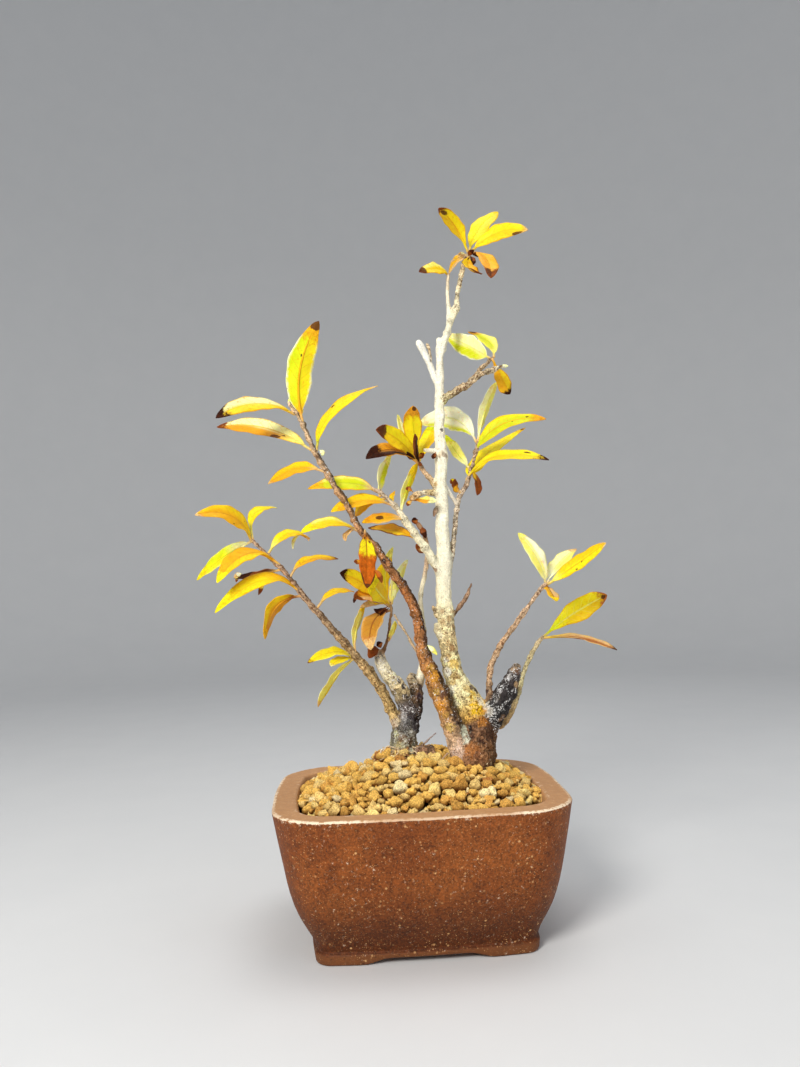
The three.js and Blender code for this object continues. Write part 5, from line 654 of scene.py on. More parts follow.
def pot_material():
    m = Mat("red_brown_stoneware")
    p, mask = m.mm(), m.attr("Mask")
    rim, rim_wear_and_highlight, foot = m.split(mask)
    _, _, z = m.xyz(p)
    broad = m.noise(p, 0.045, 4, 0.6, 0.4)
    mid = m.noise(p, 0.28, 5, 0.65)
    fine = m.noise(p, 1.15, 4, 0.7)
    c = m.mix(m.smooth(broad, 0.36, 0.66), POT_COLOURS["body"], POT_COLOURS["warm"])
    # painted shade: the wall darkens towards the foot
    c = m.mix(m.smooth(z, 40.0, 6.0, 0.0, 0.92), c, POT_COLOURS["painted_foot_shade"])
    c = m.gain(c, m.math("ADD", m.smooth(mid, 0.3, 0.72, -0.20, 0.2), m.smooth(fine, 0.34, 0.66, 0.60, 1.40)))
    c = m.mix(m.math("MULTIPLY", foot, 0.5), c, (0.24, 0.088, 0.028))
    # fired sand: pale specks of three sizes, and dark pits
    tops = []
    for scale, size, many, strength in ((0.36, 0.22, 0.45, 0.9), (0.72, 0.22, 0.48, 0.85), (1.35, 0.28, 0.55, 0.6)):
        d, r = m.cells(p, scale)
        pick, shade, _ = m.split(r)
        on = m.math("MULTIPLY", m.math("GREATER_THAN", pick, 1 - many), m.smooth(d, size, size * 0.55))
        patchy = m.smooth(m.noise(p, 0.09, 2), 0.38, 0.6, 0.35, 1.0)
        on = m.math("MULTIPLY", m.math("MULTIPLY", on, patchy), m.math("MULTIPLY_ADD", shade, 0.6, 0.4))
        tops.append(on)
        c = m.mix(m.math("MULTIPLY", on, strength), c, POT_COLOURS["speck"])
    pd, pr = m.cells(p, 0.55)
    pick, _, _ = m.split(pr)
    pits = m.math("MULTIPLY", m.math("LESS_THAN", pick, 0.25), m.smooth(pd, 0.22, 0.1))
    c = m.mix(m.math("MULTIPLY", pits, 0.7), c, (0.05, 0.018, 0.010))
    top = m.mix(m.smooth(mid, 0.35, 0.7), POT_COLOURS["rim"], (0.55, 0.30, 0.14))
    top = m.gain(top, m.smooth(fine, 0.3, 0.7, 0.90, 1.08))
    edge = m.math("ADD", rim, m.math("MULTIPLY", m.math("SUBTRACT", mid, 0.5), 0.5))
    c = m.mix(m.smooth(edge, 0.42, 0.62), c, top)
    # pale outer rim edge: partly rubbed clay, partly a painted highlight along the rounded edge
    wear_and_highlight = m.math("MULTIPLY", m.smooth(m.math("ADD", rim_wear_and_highlight, m.math("MULTIPLY", m.math("SUBTRACT", m.noise(p, 0.55, 5, 0.75), 0.5), 3.4)), 0.35, 0.85), m.smooth(m.noise(p, 0.035, 2), 0.36, 0.58, 0.35, 1.0))
    c = m.mix(wear_and_highlight, c, POT_COLOURS["rim_wear_and_highlight"])
    h = m.math("ADD", m.math("MULTIPLY", mid, 0.6), m.math("MULTIPLY", fine, 0.5))
    h = m.math("ADD", h, m.math("MULTIPLY", m.math("ADD", tops[0], tops[1]), 0.25))
    h = m.math("SUBTRACT", h, m.math("MULTIPLY", pits, 0.8))
    rough = m.smooth(fine, 0.3, 0.7, 0.50, 0.66)
    return m.finish(c, rough, m.bump(h, 0.8, 0.28), Specular_IOR_Level=0.22)


def make_pot():
    outer = [(15.6, 0.0), (15.0, 0.15), (14.75, 0.7), (14.6, 1.9), (14.42, 3.4), (14.45, 4.1), (14.75, 4.5), (15.25, 4.75), (15.45, 5.1), (15.25, 5.7), (14.85, 6.9), (14.1, 9.3), (12.3, 12.6), (10.5, 15.9), (8.9, 19.2), (7.4, 23.2), (6.05, 27.8), (4.9, 32.8), (3.9, 38), (2.75, 44.4), (1.75, 50), (0.8, 55.5), (0.2, 58.8), (0.02, 59.8), (0.12, 60.25), (0.42, 60.52), (0.95, 60.66), (1.8, 60.7)]
    flat = [(3.6, 60.62), (5.6, 60.6), (7.4, 60.64), (8.6, 60.68), (9.3, 60.55), (9.75, 60.2), (10.0, 59.7), (10.3, 58.4), (11.4, 52), (12.9, 42), (15.0, 30.0), (16.8, 23.5), (19.0, 16.0), (20.6, 12.9), (22.2, 11.5), (24.5, 11.0), (32.0, 11.0)]
    under = [(32.0, 5.0), (24.0, 5.0), (22.1, 4.8), (21.55, 4.2), (21.35, 1.2), (21.2, 0.3), (20.6, 0.0)]
    n = len(outline(0))
    angle = np.arctan2(outline(32.0)[:, 1], outline(32.0)[:, 0])
    circle = lambda r, z: np.stack([r * np.cos(angle), r * np.sin(angle), np.full(n, z)], 1)
    rings, mask = [], []

    # the second mask channel marks the pale rim edge, partly rubbed clay and partly painted highlight
    def add(by, z, rim=0.0, rim_wear_and_highlight=0.0, foot=0.0):
        o = outline(by)
        rings.append(np.column_stack([o, np.full(n, float(z))]))
        mask.append(np.tile((rim, rim_wear_and_highlight, foot), (n, 1)))

    for by, z in outer:
        add(by, z, rim=float(step(z, 59.6, 60.5)), rim_wear_and_highlight=float(np.exp(-(((z - 60.28) / 0.42) ** 2))) if z < 60.6 else 0.75 * float(by < 1.3), foot=float(step(z, 4.6, 3.6)))
    for by, z in flat:
        add(by, z, rim=float(step(z, 55, 59)), rim_wear_and_highlight=0.25 * float(8.4 < by < 9.5))
    for r, z in ((12, 11.0), (9.6, 10.9), (9.05, 10.4), (9.0, 8), (9.0, 5.6), (9.6, 5.05), (12, 5.0)):
        rings.append(circle(r, z))
        mask.append(np.tile((0.0, 0.0, 0.0), (n, 1)))
    for by, z in under:
        add(by, z, foot=float(z < 4.4))
    v = np.vstack(rings)
    # low arches between the corner feet
    x, y, z = v.T
    front = abs(y) / RIM_HALF_DEPTH > abs(x) / RIM_HALF_LENGTH * 0.92
    rise = np.where(front, 2.4 * step(27.0 - abs(x), 0, 11), 2.4 * step(18.0 - abs(y), 0, 9))
    low = np.clip(1 - z / 4.3, 0, 1) * (z < 4.3)
    v[:, 2] += rise * low
    f, rows = [], len(rings)
    for i in range(rows):
        j = (i + 1) % rows
        for k in range(n):
            q = (k + 1) % n
            f.append((i * n + k, i * n + q, j * n + q, j * n + k))
    # uneven by hand: gentle waves in the wall and rim
    wave = field(v, 26, 3) * 0.22 + field(v, 9, 4) * 0.07
    centre = unit(np.column_stack([v[:, 0], v[:, 1], np.zeros(len(v))]))
    keep = step(v[:, 2], 3.0, 9.0)
    v = v + centre * (wave * keep)[:, None]
    v[:, 2] += (field(v, 22, 5) * 0.16 + field(v, 7, 6) * 0.05) * step(v[:, 2], 54, 60)
    pot = build("stoneware_pot", v, f, pot_material(), {"Mask": np.vstack(mask)})
    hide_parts("pot")


# ---------------------------------------------------------------- soil
SOIL_EDGE, SOIL_RISE = 58.6, 15.2


def dome(x, y):
    """Height of the mound, and how far out a place is, 0 at its peak and 1 at the wall."""
    k = 0.5
    for _ in range(8):
        px, py = x + 3 * (1 - k), y - 5 * (1 - k)
        k = min(1.3, ((abs(px) / 51.6) ** 3.1 + (abs(py) / 41.9) ** 3.1) ** (1 / 3.1))
    return SOIL_EDGE + SOIL_RISE * (1 - min(k, 1.0) ** 2.6) * (1 - 0.45 * float(step(-x, 14, 24))) + 2.4 * math.exp(-(((x + 6) / 10) ** 2) - ((y - 5) / 10) ** 2), k


def icosphere(level):
    t = (1 + 5**0.5) / 2
    v = unit(np.array([(-1, t, 0), (1, t, 0), (-1, -t, 0), (1, -t, 0), (0, -1, t), (0, 1, t), (0, -1, -t), (0, 1, -t), (t, 0, -1), (t, 0, 1), (-t, 0, -1), (-t, 0, 1)], float))
    f = [(0, 11, 5), (0, 5, 1), (0, 1, 7), (0, 7, 10), (0, 10, 11), (1, 5, 9), (5, 11, 4), (11, 10, 2), (10, 7, 6), (7, 1, 8), (3, 9, 4), (3, 4, 2), (3, 2, 6), (3, 6, 8), (3, 8, 9), (4, 9, 5), (2, 4, 11), (6, 2, 10), (8, 6, 7), (9, 8, 1)]
    for _ in range(level):
        v, cut, new = list(v), {}, []

        def middle(a, b):
            key = (min(a, b), max(a, b))
            if key not in cut:
                cut[key] = len(v)
                v.append(unit(v[a] + v[b]))
            return cut[key]

        for a, b, c in f:
            d, e, g = middle(a, b), middle(b, c), middle(c, a)
            new += [(a, d, g), (b, e, d), (c, g, e), (d, e, g)]
        v, f = np.array(v), new
    return v, f


def grain_material():
    m = Mat("akadama_grains")
    p, c = m.mm(), m.attr("Col")
    fine, pore = m.noise(p, 1.7, 5, 0.7), m.noise(p, 0.8, 3)
    c = m.gain(c, m.smooth(fine, 0.30, 0.70, 0.58, 1.48))
    c = m.mix(m.smooth(pore, 0.60, 0.72, 0.0, 0.55), c, (0.42, 0.17, 0.05))
    c = m.mix(m.smooth(pore, 0.40, 0.28, 0.0, 0.35), c, (0.95, 0.68, 0.26))
    h = m.math("ADD", fine, m.math("MULTIPLY", m.noise(p, 4.5, 2), 0.4))
    return m.finish(c, 0.9, m.bump(h, 1.0, 0.6), Specular_IOR_Level=0.12)


def bed_material():
    m = Mat("soil_bed_painted_gap_shade")
    p = m.mm()
    # dark brown: painted shade seen in the gaps between the grains
    c = m.mix(m.noise(p, 0.5, 4), (0.045, 0.018, 0.007), (0.15, 0.065, 0.022))
    return m.finish(c, 0.95, m.bump(m.noise(p, 0.6, 5, 0.7), 1.0, 1.2), Specular_IOR_Level=0.1)


def make_soil(stems):
    rng = np.random.default_rng(11)
    # the bed under the grains: a solid plug with a lumpy top, coloured dark as painted shade for the gaps between the
    # grains
    wall = [(23.6, 11.6), (19.8, 16.6), (15.8, 30), (13.4, 42), (11.5, 54.5)]
    rings = [np.column_stack([outline(by, 12, 14), np.full(len(outline(0, 12, 14)), z)]) for by, z in wall]
    edge = rings[-1]
    n = len(edge)
    for k in (0.985, 0.96, 0.92, 0.87, 0.81, 0.74, 0.66, 0.57, 0.47, 0.36, 0.24, 0.11):
        r = edge * k
        r[:, 0] -= 3 * (1 - k)
        r[:, 1] += 5 * (1 - k)
        r[:, 2] = SOIL_EDGE - 4.3 + SOIL_RISE * (1 - k**2.6) * (1 - 0.45 * step(-r[:, 0], 14, 24))
        rings.append(r)
    v = np.vstack(rings + [np.array([[-3, 5, SOIL_EDGE - 4.3 + SOIL_RISE]]), np.array([[0, 0, 11.6]])])
    lump = field(v, 5.5, 8) * 0.9
    v[:, 2] += np.where(v[:, 2] > 55, lump, 0)
    f = [(i * n + k, i * n + (k + 1) % n, (i + 1) * n + (k + 1) % n, (i + 1) * n + k) for i in range(len(rings) - 1) for k in range(n)]
    f += [((len(rings) - 1) * n + k, (len(rings) - 1) * n + (k + 1) % n, len(v) - 2) for k in range(n)]
    f += [((k + 1) % n, k, len(v) - 1) for k in range(n)]
    bed = build("soil_bed", v, f, bed_material())
    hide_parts("akadama_soil")

    # grains dropped one by one into the lowest place nearby
    placed, grid = [], {}
    cell = 6.5

    def rest(x, y, r):
        z = dome(x, y)[0] - 4.3 + 0.55 * r
        cx, cy = int(math.floor(x / cell)), int(math.floor(y / cell))
        for i in (cx - 1, cx, cx + 1):
            for j in (cy - 1, cy, cy + 1):
                for a, b, c, s in grid.get((i, j), ()):
                    d2, reach = (a - x) ** 2 + (b - y) ** 2, (s + r) * 0.93
                    if d2 < reach * reach:
                        z = max(z, c + math.sqrt(reach * reach - d2))
        return z

    sizes = np.concatenate([rng.uniform(1.95, 2.95, 800), rng.uniform(1.4, 2.1, 460), rng.uniform(0.6, 1.05, 420)])
    for r in sizes:
        best = None
        for _ in range(7):
            x, y = rng.uniform(-52, 52), rng.uniform(-43, 43)
            h, k = dome(x, y)
            if k > 1.0:
                continue
            for _ in range(5):
                z = rest(x, y, r)
                for ang in rng.uniform(0, 2 * math.pi, 4):
                    x2, y2 = x + 0.8 * math.cos(ang), y + 0.8 * math.sin(ang)
                    z2 = rest(x2, y2, r)
                    if z2 < z and dome(x2, y2)[1] < 1.0:
                        x, y, z = x2, y2, z2
            h, k = dome(x, y)
            out = outline_gap(x, y)
            if out < r * 0.80 or any(math.hypot(x - sx, y - sy) < sr + 0.30 * r for sx, sy, sr in stems(z)):
                continue
            over = z - h
            if over < (0.9 if r > 1.3 else 1.5) and (best is None or over < best[0]):
                best = (over, x, y, z)
        if best is None:
            continue
        _, x, y, z = best
        placed.append((x, y, z, r))
        grid.setdefault((int(math.floor(x / cell)), int(math.floor(y / cell))), []).append((x, y, z, r))
    # shapes
    tones = [((0.90, 0.55, 0.130), 0.42), ((0.97, 0.68, 0.24), 0.32), ((0.74, 0.40, 0.090), 0.16), ((0.96, 0.77, 0.40), 0.07), ((0.52, 0.22, 0.060), 0.03)]
    weights = np.array([w for _, w in tones])
    ico = {2: icosphere(2), 1: icosphere(1)}
    groups = [Shape("Col"), Shape("Col")]
    for i, (x, y, z, r) in enumerate(placed):
        base, faces = ico[2 if r > 1.25 else 1]
        v = base.copy()
        for _ in range(11):
            d = unit(rng.normal(size=3))
            lim = rng.uniform(0.52, 0.90)
            s = v @ d
            v = v - np.outer(np.maximum(0, s - lim) * 0.97, d)
        lo = np.array([noise.noise(Vector(q) * 1.6 + Vector((i * 1.7, 0, 3.1))) for q in v.tolist()])
        hi = np.array([noise.noise(Vector(q) * 4.2 + Vector((0, i * 2.3, 1.1))) for q in v.tolist()])
        v = v * (1 + 0.30 * lo + 0.22 * hi)[:, None]
        v = v * rng.uniform(0.74, 1.26, 3) * r * 1.22
        ax = unit(rng.normal(size=3))
        v = v @ np.array(Matrix.Rotation(rng.uniform(0, 6.283), 3, Vector(ax)))
        c = np.array(tones[rng.choice(len(tones), p=weights / weights.sum())][0]) * rng.uniform(0.82, 1.10)
        if math.hypot(x + 6, y - 5) < 14 and rng.random() < 0.55:  # stained by the roots of the left stem
            c = np.array((0.60, 0.30, 0.080)) * rng.uniform(0.6, 1.2)
        # darker and redder low down on each grain: painted shade in the gaps between the grains
        low = 1 - step(v[:, 2] / r, -0.55, 0.60)
        c = np.clip(c, 0, 0.97) * (1 - low[:, None] * np.array((0.84, 0.91, 0.95)))
        groups[i % 2].add(v + (x, y, z), faces, Col=c)
    gm = grain_material()
    for i, g in enumerate(groups):
        o = g.make("akadama_grains_" + "ab"[i], gm, smooth=False)
    print("grains", len(placed), "faces", sum(len(g.f) for g in groups))


INNER = None


def outline_gap(x, y):
    """Distance from a place to the inner edge of the rim."""
    global INNER
    if INNER is None:
        o = outline(10.0)
        INNER = o
    d = np.hypot(INNER[:, 0] - x, INNER[:, 1] - y)
    i = int(d.argmin())
    inside = (INNER[i] @ INNER[i]) > x * x + y * y
    return float(d[i]) if inside else -float(d[i])


# ---------------------------------------------------------------- wood
def spline(points, gap):
    """A smooth line through points, resampled, with the station number of each new point."""
    p = np.array(points, float)
    ext = np.vstack([2 * p[0] - p[1], p, 2 * p[-1] - p[-2]])
    out, at = [], []
    for i in range(len(p) - 1):
        p0, p1, p2, p3 = ext[i : i + 4]
        k = max(1, int(math.ceil(np.linalg.norm((p2 - p1)[:3]) / gap)))
        for j in range(k):
            t = j / k
            out.append(0.5 * (2 * p1 + (p2 - p0) * t + (2 * p0 - 5 * p1 + 4 * p2 - p3) * t * t + (3 * p1 - p0 - 3 * p2 + p3) * t**3))
            at.append(i + t)
    out.append(p[-1])
    at.append(len(p) - 1)
    return np.array(out), np.array(at)


def frames(c):
    t = unit(np.gradient(c, axis=0))
    side = np.array([1.0, 0, 0]) if abs(t[0][0]) < 0.9 else np.array([0, 1.0, 0])
    sides = []
    for k in range(len(c)):
        side = unit(side - (side @ t[k]) * t[k])
        sides.append(side)
    s = np.array(sides)
    return t, s, np.cross(t, s)


def tube(c, r, sides, dome_share=0.6, squash=None):
    """A closed round tube with rounded ends."""
    t, s, u = frames(c)
    rings = [(c[0] - t[0] * r[0] * dome_share, r[0] * 0.45, 0), (c[0] - t[0] * r[0] * dome_share * 0.6, r[0] * 0.82, 0)]
    rings += [(c[k], r[k], k) for k in range(len(c))]
    e = len(c) - 1
    rings += [(c[e] + t[e] * r[e] * dome_share * 0.6, r[e] * 0.82, e), (c[e] + t[e] * r[e] * dome_share, r[e] * 0.45, e)]
    a = np.arange(sides) * 2 * math.pi / sides
    v = []
    for p, q, k in rings:
        v.append(p + q * (np.outer(np.cos(a), s[k]) + np.outer(np.sin(a), u[k])))
    v = np.vstack(v + [rings[0][0] - t[0] * r[0] * 0.12, rings[-1][0] + t[e] * r[e] * 0.12])
    n, rows = sides, len(rings)
    f = [(i * n + k, i * n + (k + 1) % n, (i + 1) * n + (k + 1) % n, (i + 1) * n + k) for i in range(rows - 1) for k in range(n)]
    f += [((k + 1) % n, k, len(v) - 2) for k in range(n)] + [((rows - 1) * n + k, (rows - 1) * n + (k + 1) % n, len(v) - 1) for k in range(n)]
    return v, f


def wood_material():
    m = Mat("buttonbush_bark")
    p, base, bark = m.mm(), m.attr("Col"), m.attr("bark", "Vector")
    mask = m.node("Attribute", attribute_name="Mask", attribute_type="GEOMETRY")
    rug, dark, pale = m.split(mask.outputs["Color"])
    streak = mask.outputs["Alpha"]
    fine = m.noise(p, 1.5, 5, 0.7)
    mid = m.noise(p, 0.62, 4, 0.6, 0.6)
    lines = m.noise(bark, 1.5, 4, 0.6)
    fleck = m.noise(p, 1.25, 3, 0.6, 0.8)
    fleck2 = m.noise(p, 1.7, 2, 0.5, 0.4)
    c = m.gain(base, m.math("MULTIPLY_ADD", m.math("SUBTRACT", fine, 0.5), m.math("MULTIPLY_ADD", rug, 2.6, 0.9), 1.0))
    c = m.gain(c, m.math("SUBTRACT", 1.0, m.math("MULTIPLY", streak, m.smooth(lines, 0.48, 0.66, 0.0, 0.6))))
    c = m.mix(m.math("MULTIPLY", streak, m.smooth(lines, 0.44, 0.30, 0.0, 0.35)), c, (0.86, 0.70, 0.46))
    cut = m.math("MULTIPLY_ADD", dark, -0.22, 0.69)
    on = m.math("MULTIPLY", m.smooth(m.math("SUBTRACT", fleck, cut), 0.0, 0.04), 0.9)
    burnt = m.node("VectorMath", {0: base, 1: (0.30, 0.17, 0.10)}, operation="MULTIPLY").outputs[0]
    c = m.mix(on, c, burnt)
    cut2 = m.math("MULTIPLY_ADD", pale, -0.24, 0.76)
    on2 = m.math("MULTIPLY", m.smooth(m.math("SUBTRACT", fleck2, cut2), 0.0, 0.04), m.smooth(m.noise(p, 0.30, 3), 0.44, 0.58, 0.0, 0.85))
    c = m.mix(on2, c, (0.88, 0.88, 0.87))
    h = m.math("ADD", m.math("MULTIPLY", fine, 0.5), m.math("MULTIPLY", mid, 0.6))
    h = m.math("SUBTRACT", h, m.math("MULTIPLY", m.math("MULTIPLY", streak, lines), 0.8))
    h = m.math("SUBTRACT", h, m.math("MULTIPLY", on, 0.4))
    h = m.math("MULTIPLY", h, m.math("MULTIPLY_ADD", rug, 0.9, 0.5))
    return m.finish(c, m.smooth(mid, 0.3, 0.7, 0.62, 0.85), m.bump(h, 1.0, 0.6), Specular_IOR_Level=0.15)


EXTRA_LIMBS = {
    "stump": ("D", [(2.0, 2.0, 68.0, 3.4), (3.4, 0.2, 71.5, 4.2), (5.0, -0.5, 74.6, 4.3), (6.6, -0.6, 76.8, 3.1), (7.3, -0.6, 77.8, 1.4)], [(0, (0.30, 0.17, 0.09)), (2, (0.36, 0.19, 0.11)), (3, (0.42, 0.27, 0.15)), (4, (0.10, 0.06, 0.05))], 1.0, 0.7, 0.4, 0.4, 0),
    "dry_twig": ("D", [(2.6, 0.0, 73.5, 1.2), (-0.3, 0.2, 76.0, 0.8), (3.5, 0.3, 79.2, 0.55), (9.5, 0.5, 83.8, 0.40)], [(0, (0.22, 0.12, 0.07)), (2, (0.40, 0.30, 0.24)), (3, (0.46, 0.38, 0.38))], 0.3, 0.4, 0.3, 0.4, 0),
}


def make_wood(clump, name, node, voxel, mat):
    rng = np.random.default_rng(sum(map(ord, clump)))
    tubes_v, tubes_f, n0 = [], [], 0
    axis, radius, colour, params, tang, sidev, upv, along = [], [], [], [], [], [], [], []
    for key, (cl, stations, stops, rug, dark, pale, streak, spacing) in {**LIMBS, **EXTRA_LIMBS}.items():
        if cl != clump:
            continue
        c4, at = spline(stations, 0.7)
        c, r = c4[:, :3].copy(), c4[:, 3].copy()
        s = np.concatenate([[0], np.cumsum(np.linalg.norm(np.diff(c, axis=0), axis=1))])
        seed = sum(map(ord, key)) * 0.13
        # slightly crooked and uneven, as wood grows
        wob = min(0.35, 0.10 + 0.06 * float(r.mean()))
        c += np.stack([field(np.stack([s, s * 0, s * 0 + k * 9.7], 1), 5.5, seed) for k in range(3)], 1) * wob * np.minimum(1, s / 4)[:, None]
        r *= 1 + 0.06 * field(np.stack([s, s * 0, s * 0], 1), 3.2, seed + 2)
        ring = np.zeros(len(s))
        if spacing:
            k = 0.5 * spacing
            while k < s[-1] - 0.2 * spacing:
                ring = np.maximum(ring, np.exp(-(((s - k) / 0.75) ** 2)))
                k += spacing * rng.uniform(0.75, 1.25)
            r = r * (1 + np.interp(r, (1.5, 3.5), (0.26, 0.07)) * ring)
        r = np.maximum(r, 0.42)
        sides = int(np.clip(2 * math.pi * r.max() / 0.6, 10, 56))
        v, f = tube(c, r, sides)
        tubes_v.append(v)
        tubes_f += [[i + n0 for i in q] for q in f]
        n0 += len(v)
        t, sd, up = frames(c)
        cols = np.stack([np.interp(at, [a for a, _ in stops], [q[k] for _, q in stops]) for k in range(3)], 1)
        cols = cols * (1 - 0.38 * np.exp(-((((ring - 1)) / 0.25) ** 2)) * (ring > 0.5))[:, None]
        axis.append(c), radius.append(r), colour.append(cols), tang.append(t), sidev.append(sd), upv.append(up), along.append(s)
        # fifth column: how much painted shade falls on the side facing +x, away from the key light
        params.append(np.tile((rug, dark, pale, streak, {"B": 0.80, "L3": 0.5, "L1": 0.35, "R_base": 0.45}.get(key, 0.0)), (len(c), 1)))
    me = bpy.data.meshes.new("tmp")
    me.from_pydata((np.vstack(tubes_v) * MM).tolist(), [], tubes_f)
    tmp = bpy.data.objects.new("tmp_" + clump, me)
    bpy.context.scene.collection.objects.link(tmp)
    mod = tmp.modifiers.new("remesh", "REMESH")
    mod.mode, mod.voxel_size, mod.adaptivity = "VOXEL", voxel * MM, 0.0
    dg = bpy.context.evaluated_depsgraph_get()
    got = bpy.data.meshes.new_from_object(tmp.evaluated_get(dg))
    nv = len(got.vertices)
    v = np.empty(nv * 3, np.float32)
    got.vertices.foreach_get("co", v)
    v = v.reshape(-1, 3).astype(float) / MM
    faces = [tuple(p.vertices) for p in got.polygons]
    e = np.empty(len(got.edges) * 2, np.int64)
    got.edges.foreach_get("vertices", e)
    e = e.reshape(-1, 2)
    bpy.data.objects.remove(tmp)
    bpy.data.meshes.remove(me)
    bpy.data.meshes.remove(got)
    count = np.bincount(e.ravel(), minlength=nv)[:, None]
    for _ in range(3):
        acc = np.zeros_like(v)
        np.add.at(acc, e[:, 0], v[e[:, 1]])
        np.add.at(acc, e[:, 1], v[e[:, 0]])
        v = v * 0.45 + (acc / np.maximum(count, 1)) * 0.55
    axis, radius, colour, params = np.vstack(axis), np.concatenate(radius), np.vstack(colour), np.vstack(params)
    tang, sidev, upv, along = np.vstack(tang), np.vstack(sidev), np.vstack(upv), np.concatenate(along)
    C, M, B = np.empty((nv, 3)), np.empty((nv, 5)), np.empty((nv, 3))
    for a in range(0, nv, 4000):
        q = v[a : a + 4000]
        d = np.sqrt(np.maximum(((q[:, None, :] - axis[None]) ** 2).sum(2), 1e-12)) - radius[None]
        near = d.argmin(1)
        w = np.exp(-(d - d.min(1)[:, None]) / 0.45)
        w /= w.sum(1)[:, None]
        C[a : a + 4000], M[a : a + 4000] = w @ colour, w @ params
        rel = q - axis[near]
        B[a : a + 4000] = np.stack([(rel * sidev[near]).sum(1) * 1.0, (rel * upv[near]).sum(1) * 1.0, along[near] * 0.14 + near * 0.0], 1)
    # faces to normals
    tri = np.array([f[:3] for f in faces])
    fn = np.cross(v[tri[:, 1]] - v[tri[:, 0]], v[tri[:, 2]] - v[tri[:, 0]])
    nrm = np.zeros_like(v)
    quad = np.array([f if len(f) == 4 else (*f, f[2]) for f in faces])
    for k in range(4):
        np.add.at(nrm, quad[:, k], fn)
    nrm = unit(nrm)
    calm = step(C.mean(1), 0.60, 0.80)  # the bare pale wood is smoother and cleaner
    M[:, 0] *= 1 - 0.72 * calm
    M[:, 1] *= 1 - 0.80 * calm
    rug, streak = M[:, 0], M[:, 3]
    n1, n2, n3 = field(v, 2.6, 1.1), field(v, 1.15, 2.1), field(B, 0.9, 3.1)
    plates = 1 - 2 * np.abs(field(B * np.array([1, 1, 1.6]), 1.5, 5.1))
    d = rug * (0.26 * n1 + 0.18 * n2 + 0.20 * plates - 0.05) + streak * 0.12 * n3 + 0.07 * n2 + 0.06 * n1 + 0.42 * rug**2 * field(v, 4.3, 6.1)
    v = v + nrm * d[:, None]
    # random tone, plus painted shade in the hollows and a little painted highlight on the ridges, from the displacement
    # d
    tone_and_hollow_shade = 1 + rug * (0.22 * n1 + 0.22 * n2) + 0.07 * n3 + np.clip(d / 0.4, -0.6, 0.4) * 0.5 * rug
    C = C * tone_and_hollow_shade[:, None]
    # painted shade on the side facing +x, away from the key light
    C = C * (1 - M[:, 4] * step(nrm[:, 0] + 0.18 * n1, 0.05, 0.75))[:, None]
    M = M[:, :4]
    ragged = 0.30 * n2 + 0.22 * n1
    for p, r, c, s in PATCHES:
        dist = np.linalg.norm(v - p, axis=1) / r + ragged
        C = lerp(C, np.array(c) * np.ones_like(C), s * step(dist, 1.12, 0.72))
    C = np.clip(C, 0.004, 0.97)
    ob = build(name, v, faces, mat, {"Col": C, "Mask": M, "bark": B})
    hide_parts(node)
    print(name, nv, "points")
    return ob


def make_roots(mat):
    s = Shape("Col", "Mask", "bark")
    for points, r, c in ROOTS:
        q, _ = spline(points, 0.8)
        n = len(q)
        rr = r * np.linspace(1.0, 0.55, n)
        v, f = tube(q, rr, 8)
        v = v + np.stack([field(v, 1.6, 31 + k) for k in range(3)], 1) * 0.12
        v[:, 2] += 1.6
        s.add(v, f, Col=np.array(c), Mask=np.array((0.3, 0.3, 0.2, 0.3)), bark=v * (1, 1, 0.2))
    rng = np.random.default_rng(5)
    for k in range(26):  # fine roots that run from the left stem over the grains
        a, far, r = rng.uniform(-3.5, 0.4), rng.uniform(10, 17), rng.uniform(0.28, 0.55)
        bend, pts = rng.uniform(-0.7, 0.7), []
        for t in (0.0, 0.3, 0.6, 0.85, 1.0):
            d, b = 5.2 + (far - 5.2) * t, a + bend * t * t
            x, y = -5.0 + d * math.cos(b), 8.0 + d * math.sin(b)
            pts.append((x, y, dome(x, y)[0] + (1.9 if t < 0.2 else 0.9 + 0.9 * math.sin(7 * t + k)) - (1.2 if t == 1.0 else 0)))
        q, _ = spline(pts, 0.8)
        v, f = tube(q, r * np.linspace(1.1, 0.45, len(q)), 8)
        v = v + np.stack([field(v, 1.7, 41 + j) for j in range(3)], 1) * 0.14
        c = ((0.62, 0.42, 0.22), (0.40, 0.20, 0.08), (0.78, 0.62, 0.38), (0.28, 0.13, 0.06))[k % 4]
        s.add(v, f, Col=np.array(c), Mask=np.array((0.3, 0.4, 0.2, 0.3)), bark=v * (1, 1, 0.2))
    o = s.make("surface_roots", mat)


# ---------------------------------------------------------------- leaves
def blade_width(u, peak):
    t = np.clip((u - 0.06) / 0.94, 0, 1)
    return np.sin(np.pi * t ** (math.log(0.5) / math.log(peak))).clip(0, 1) ** (0.86 - 0.26 * step(u, 0.35, 0.8))


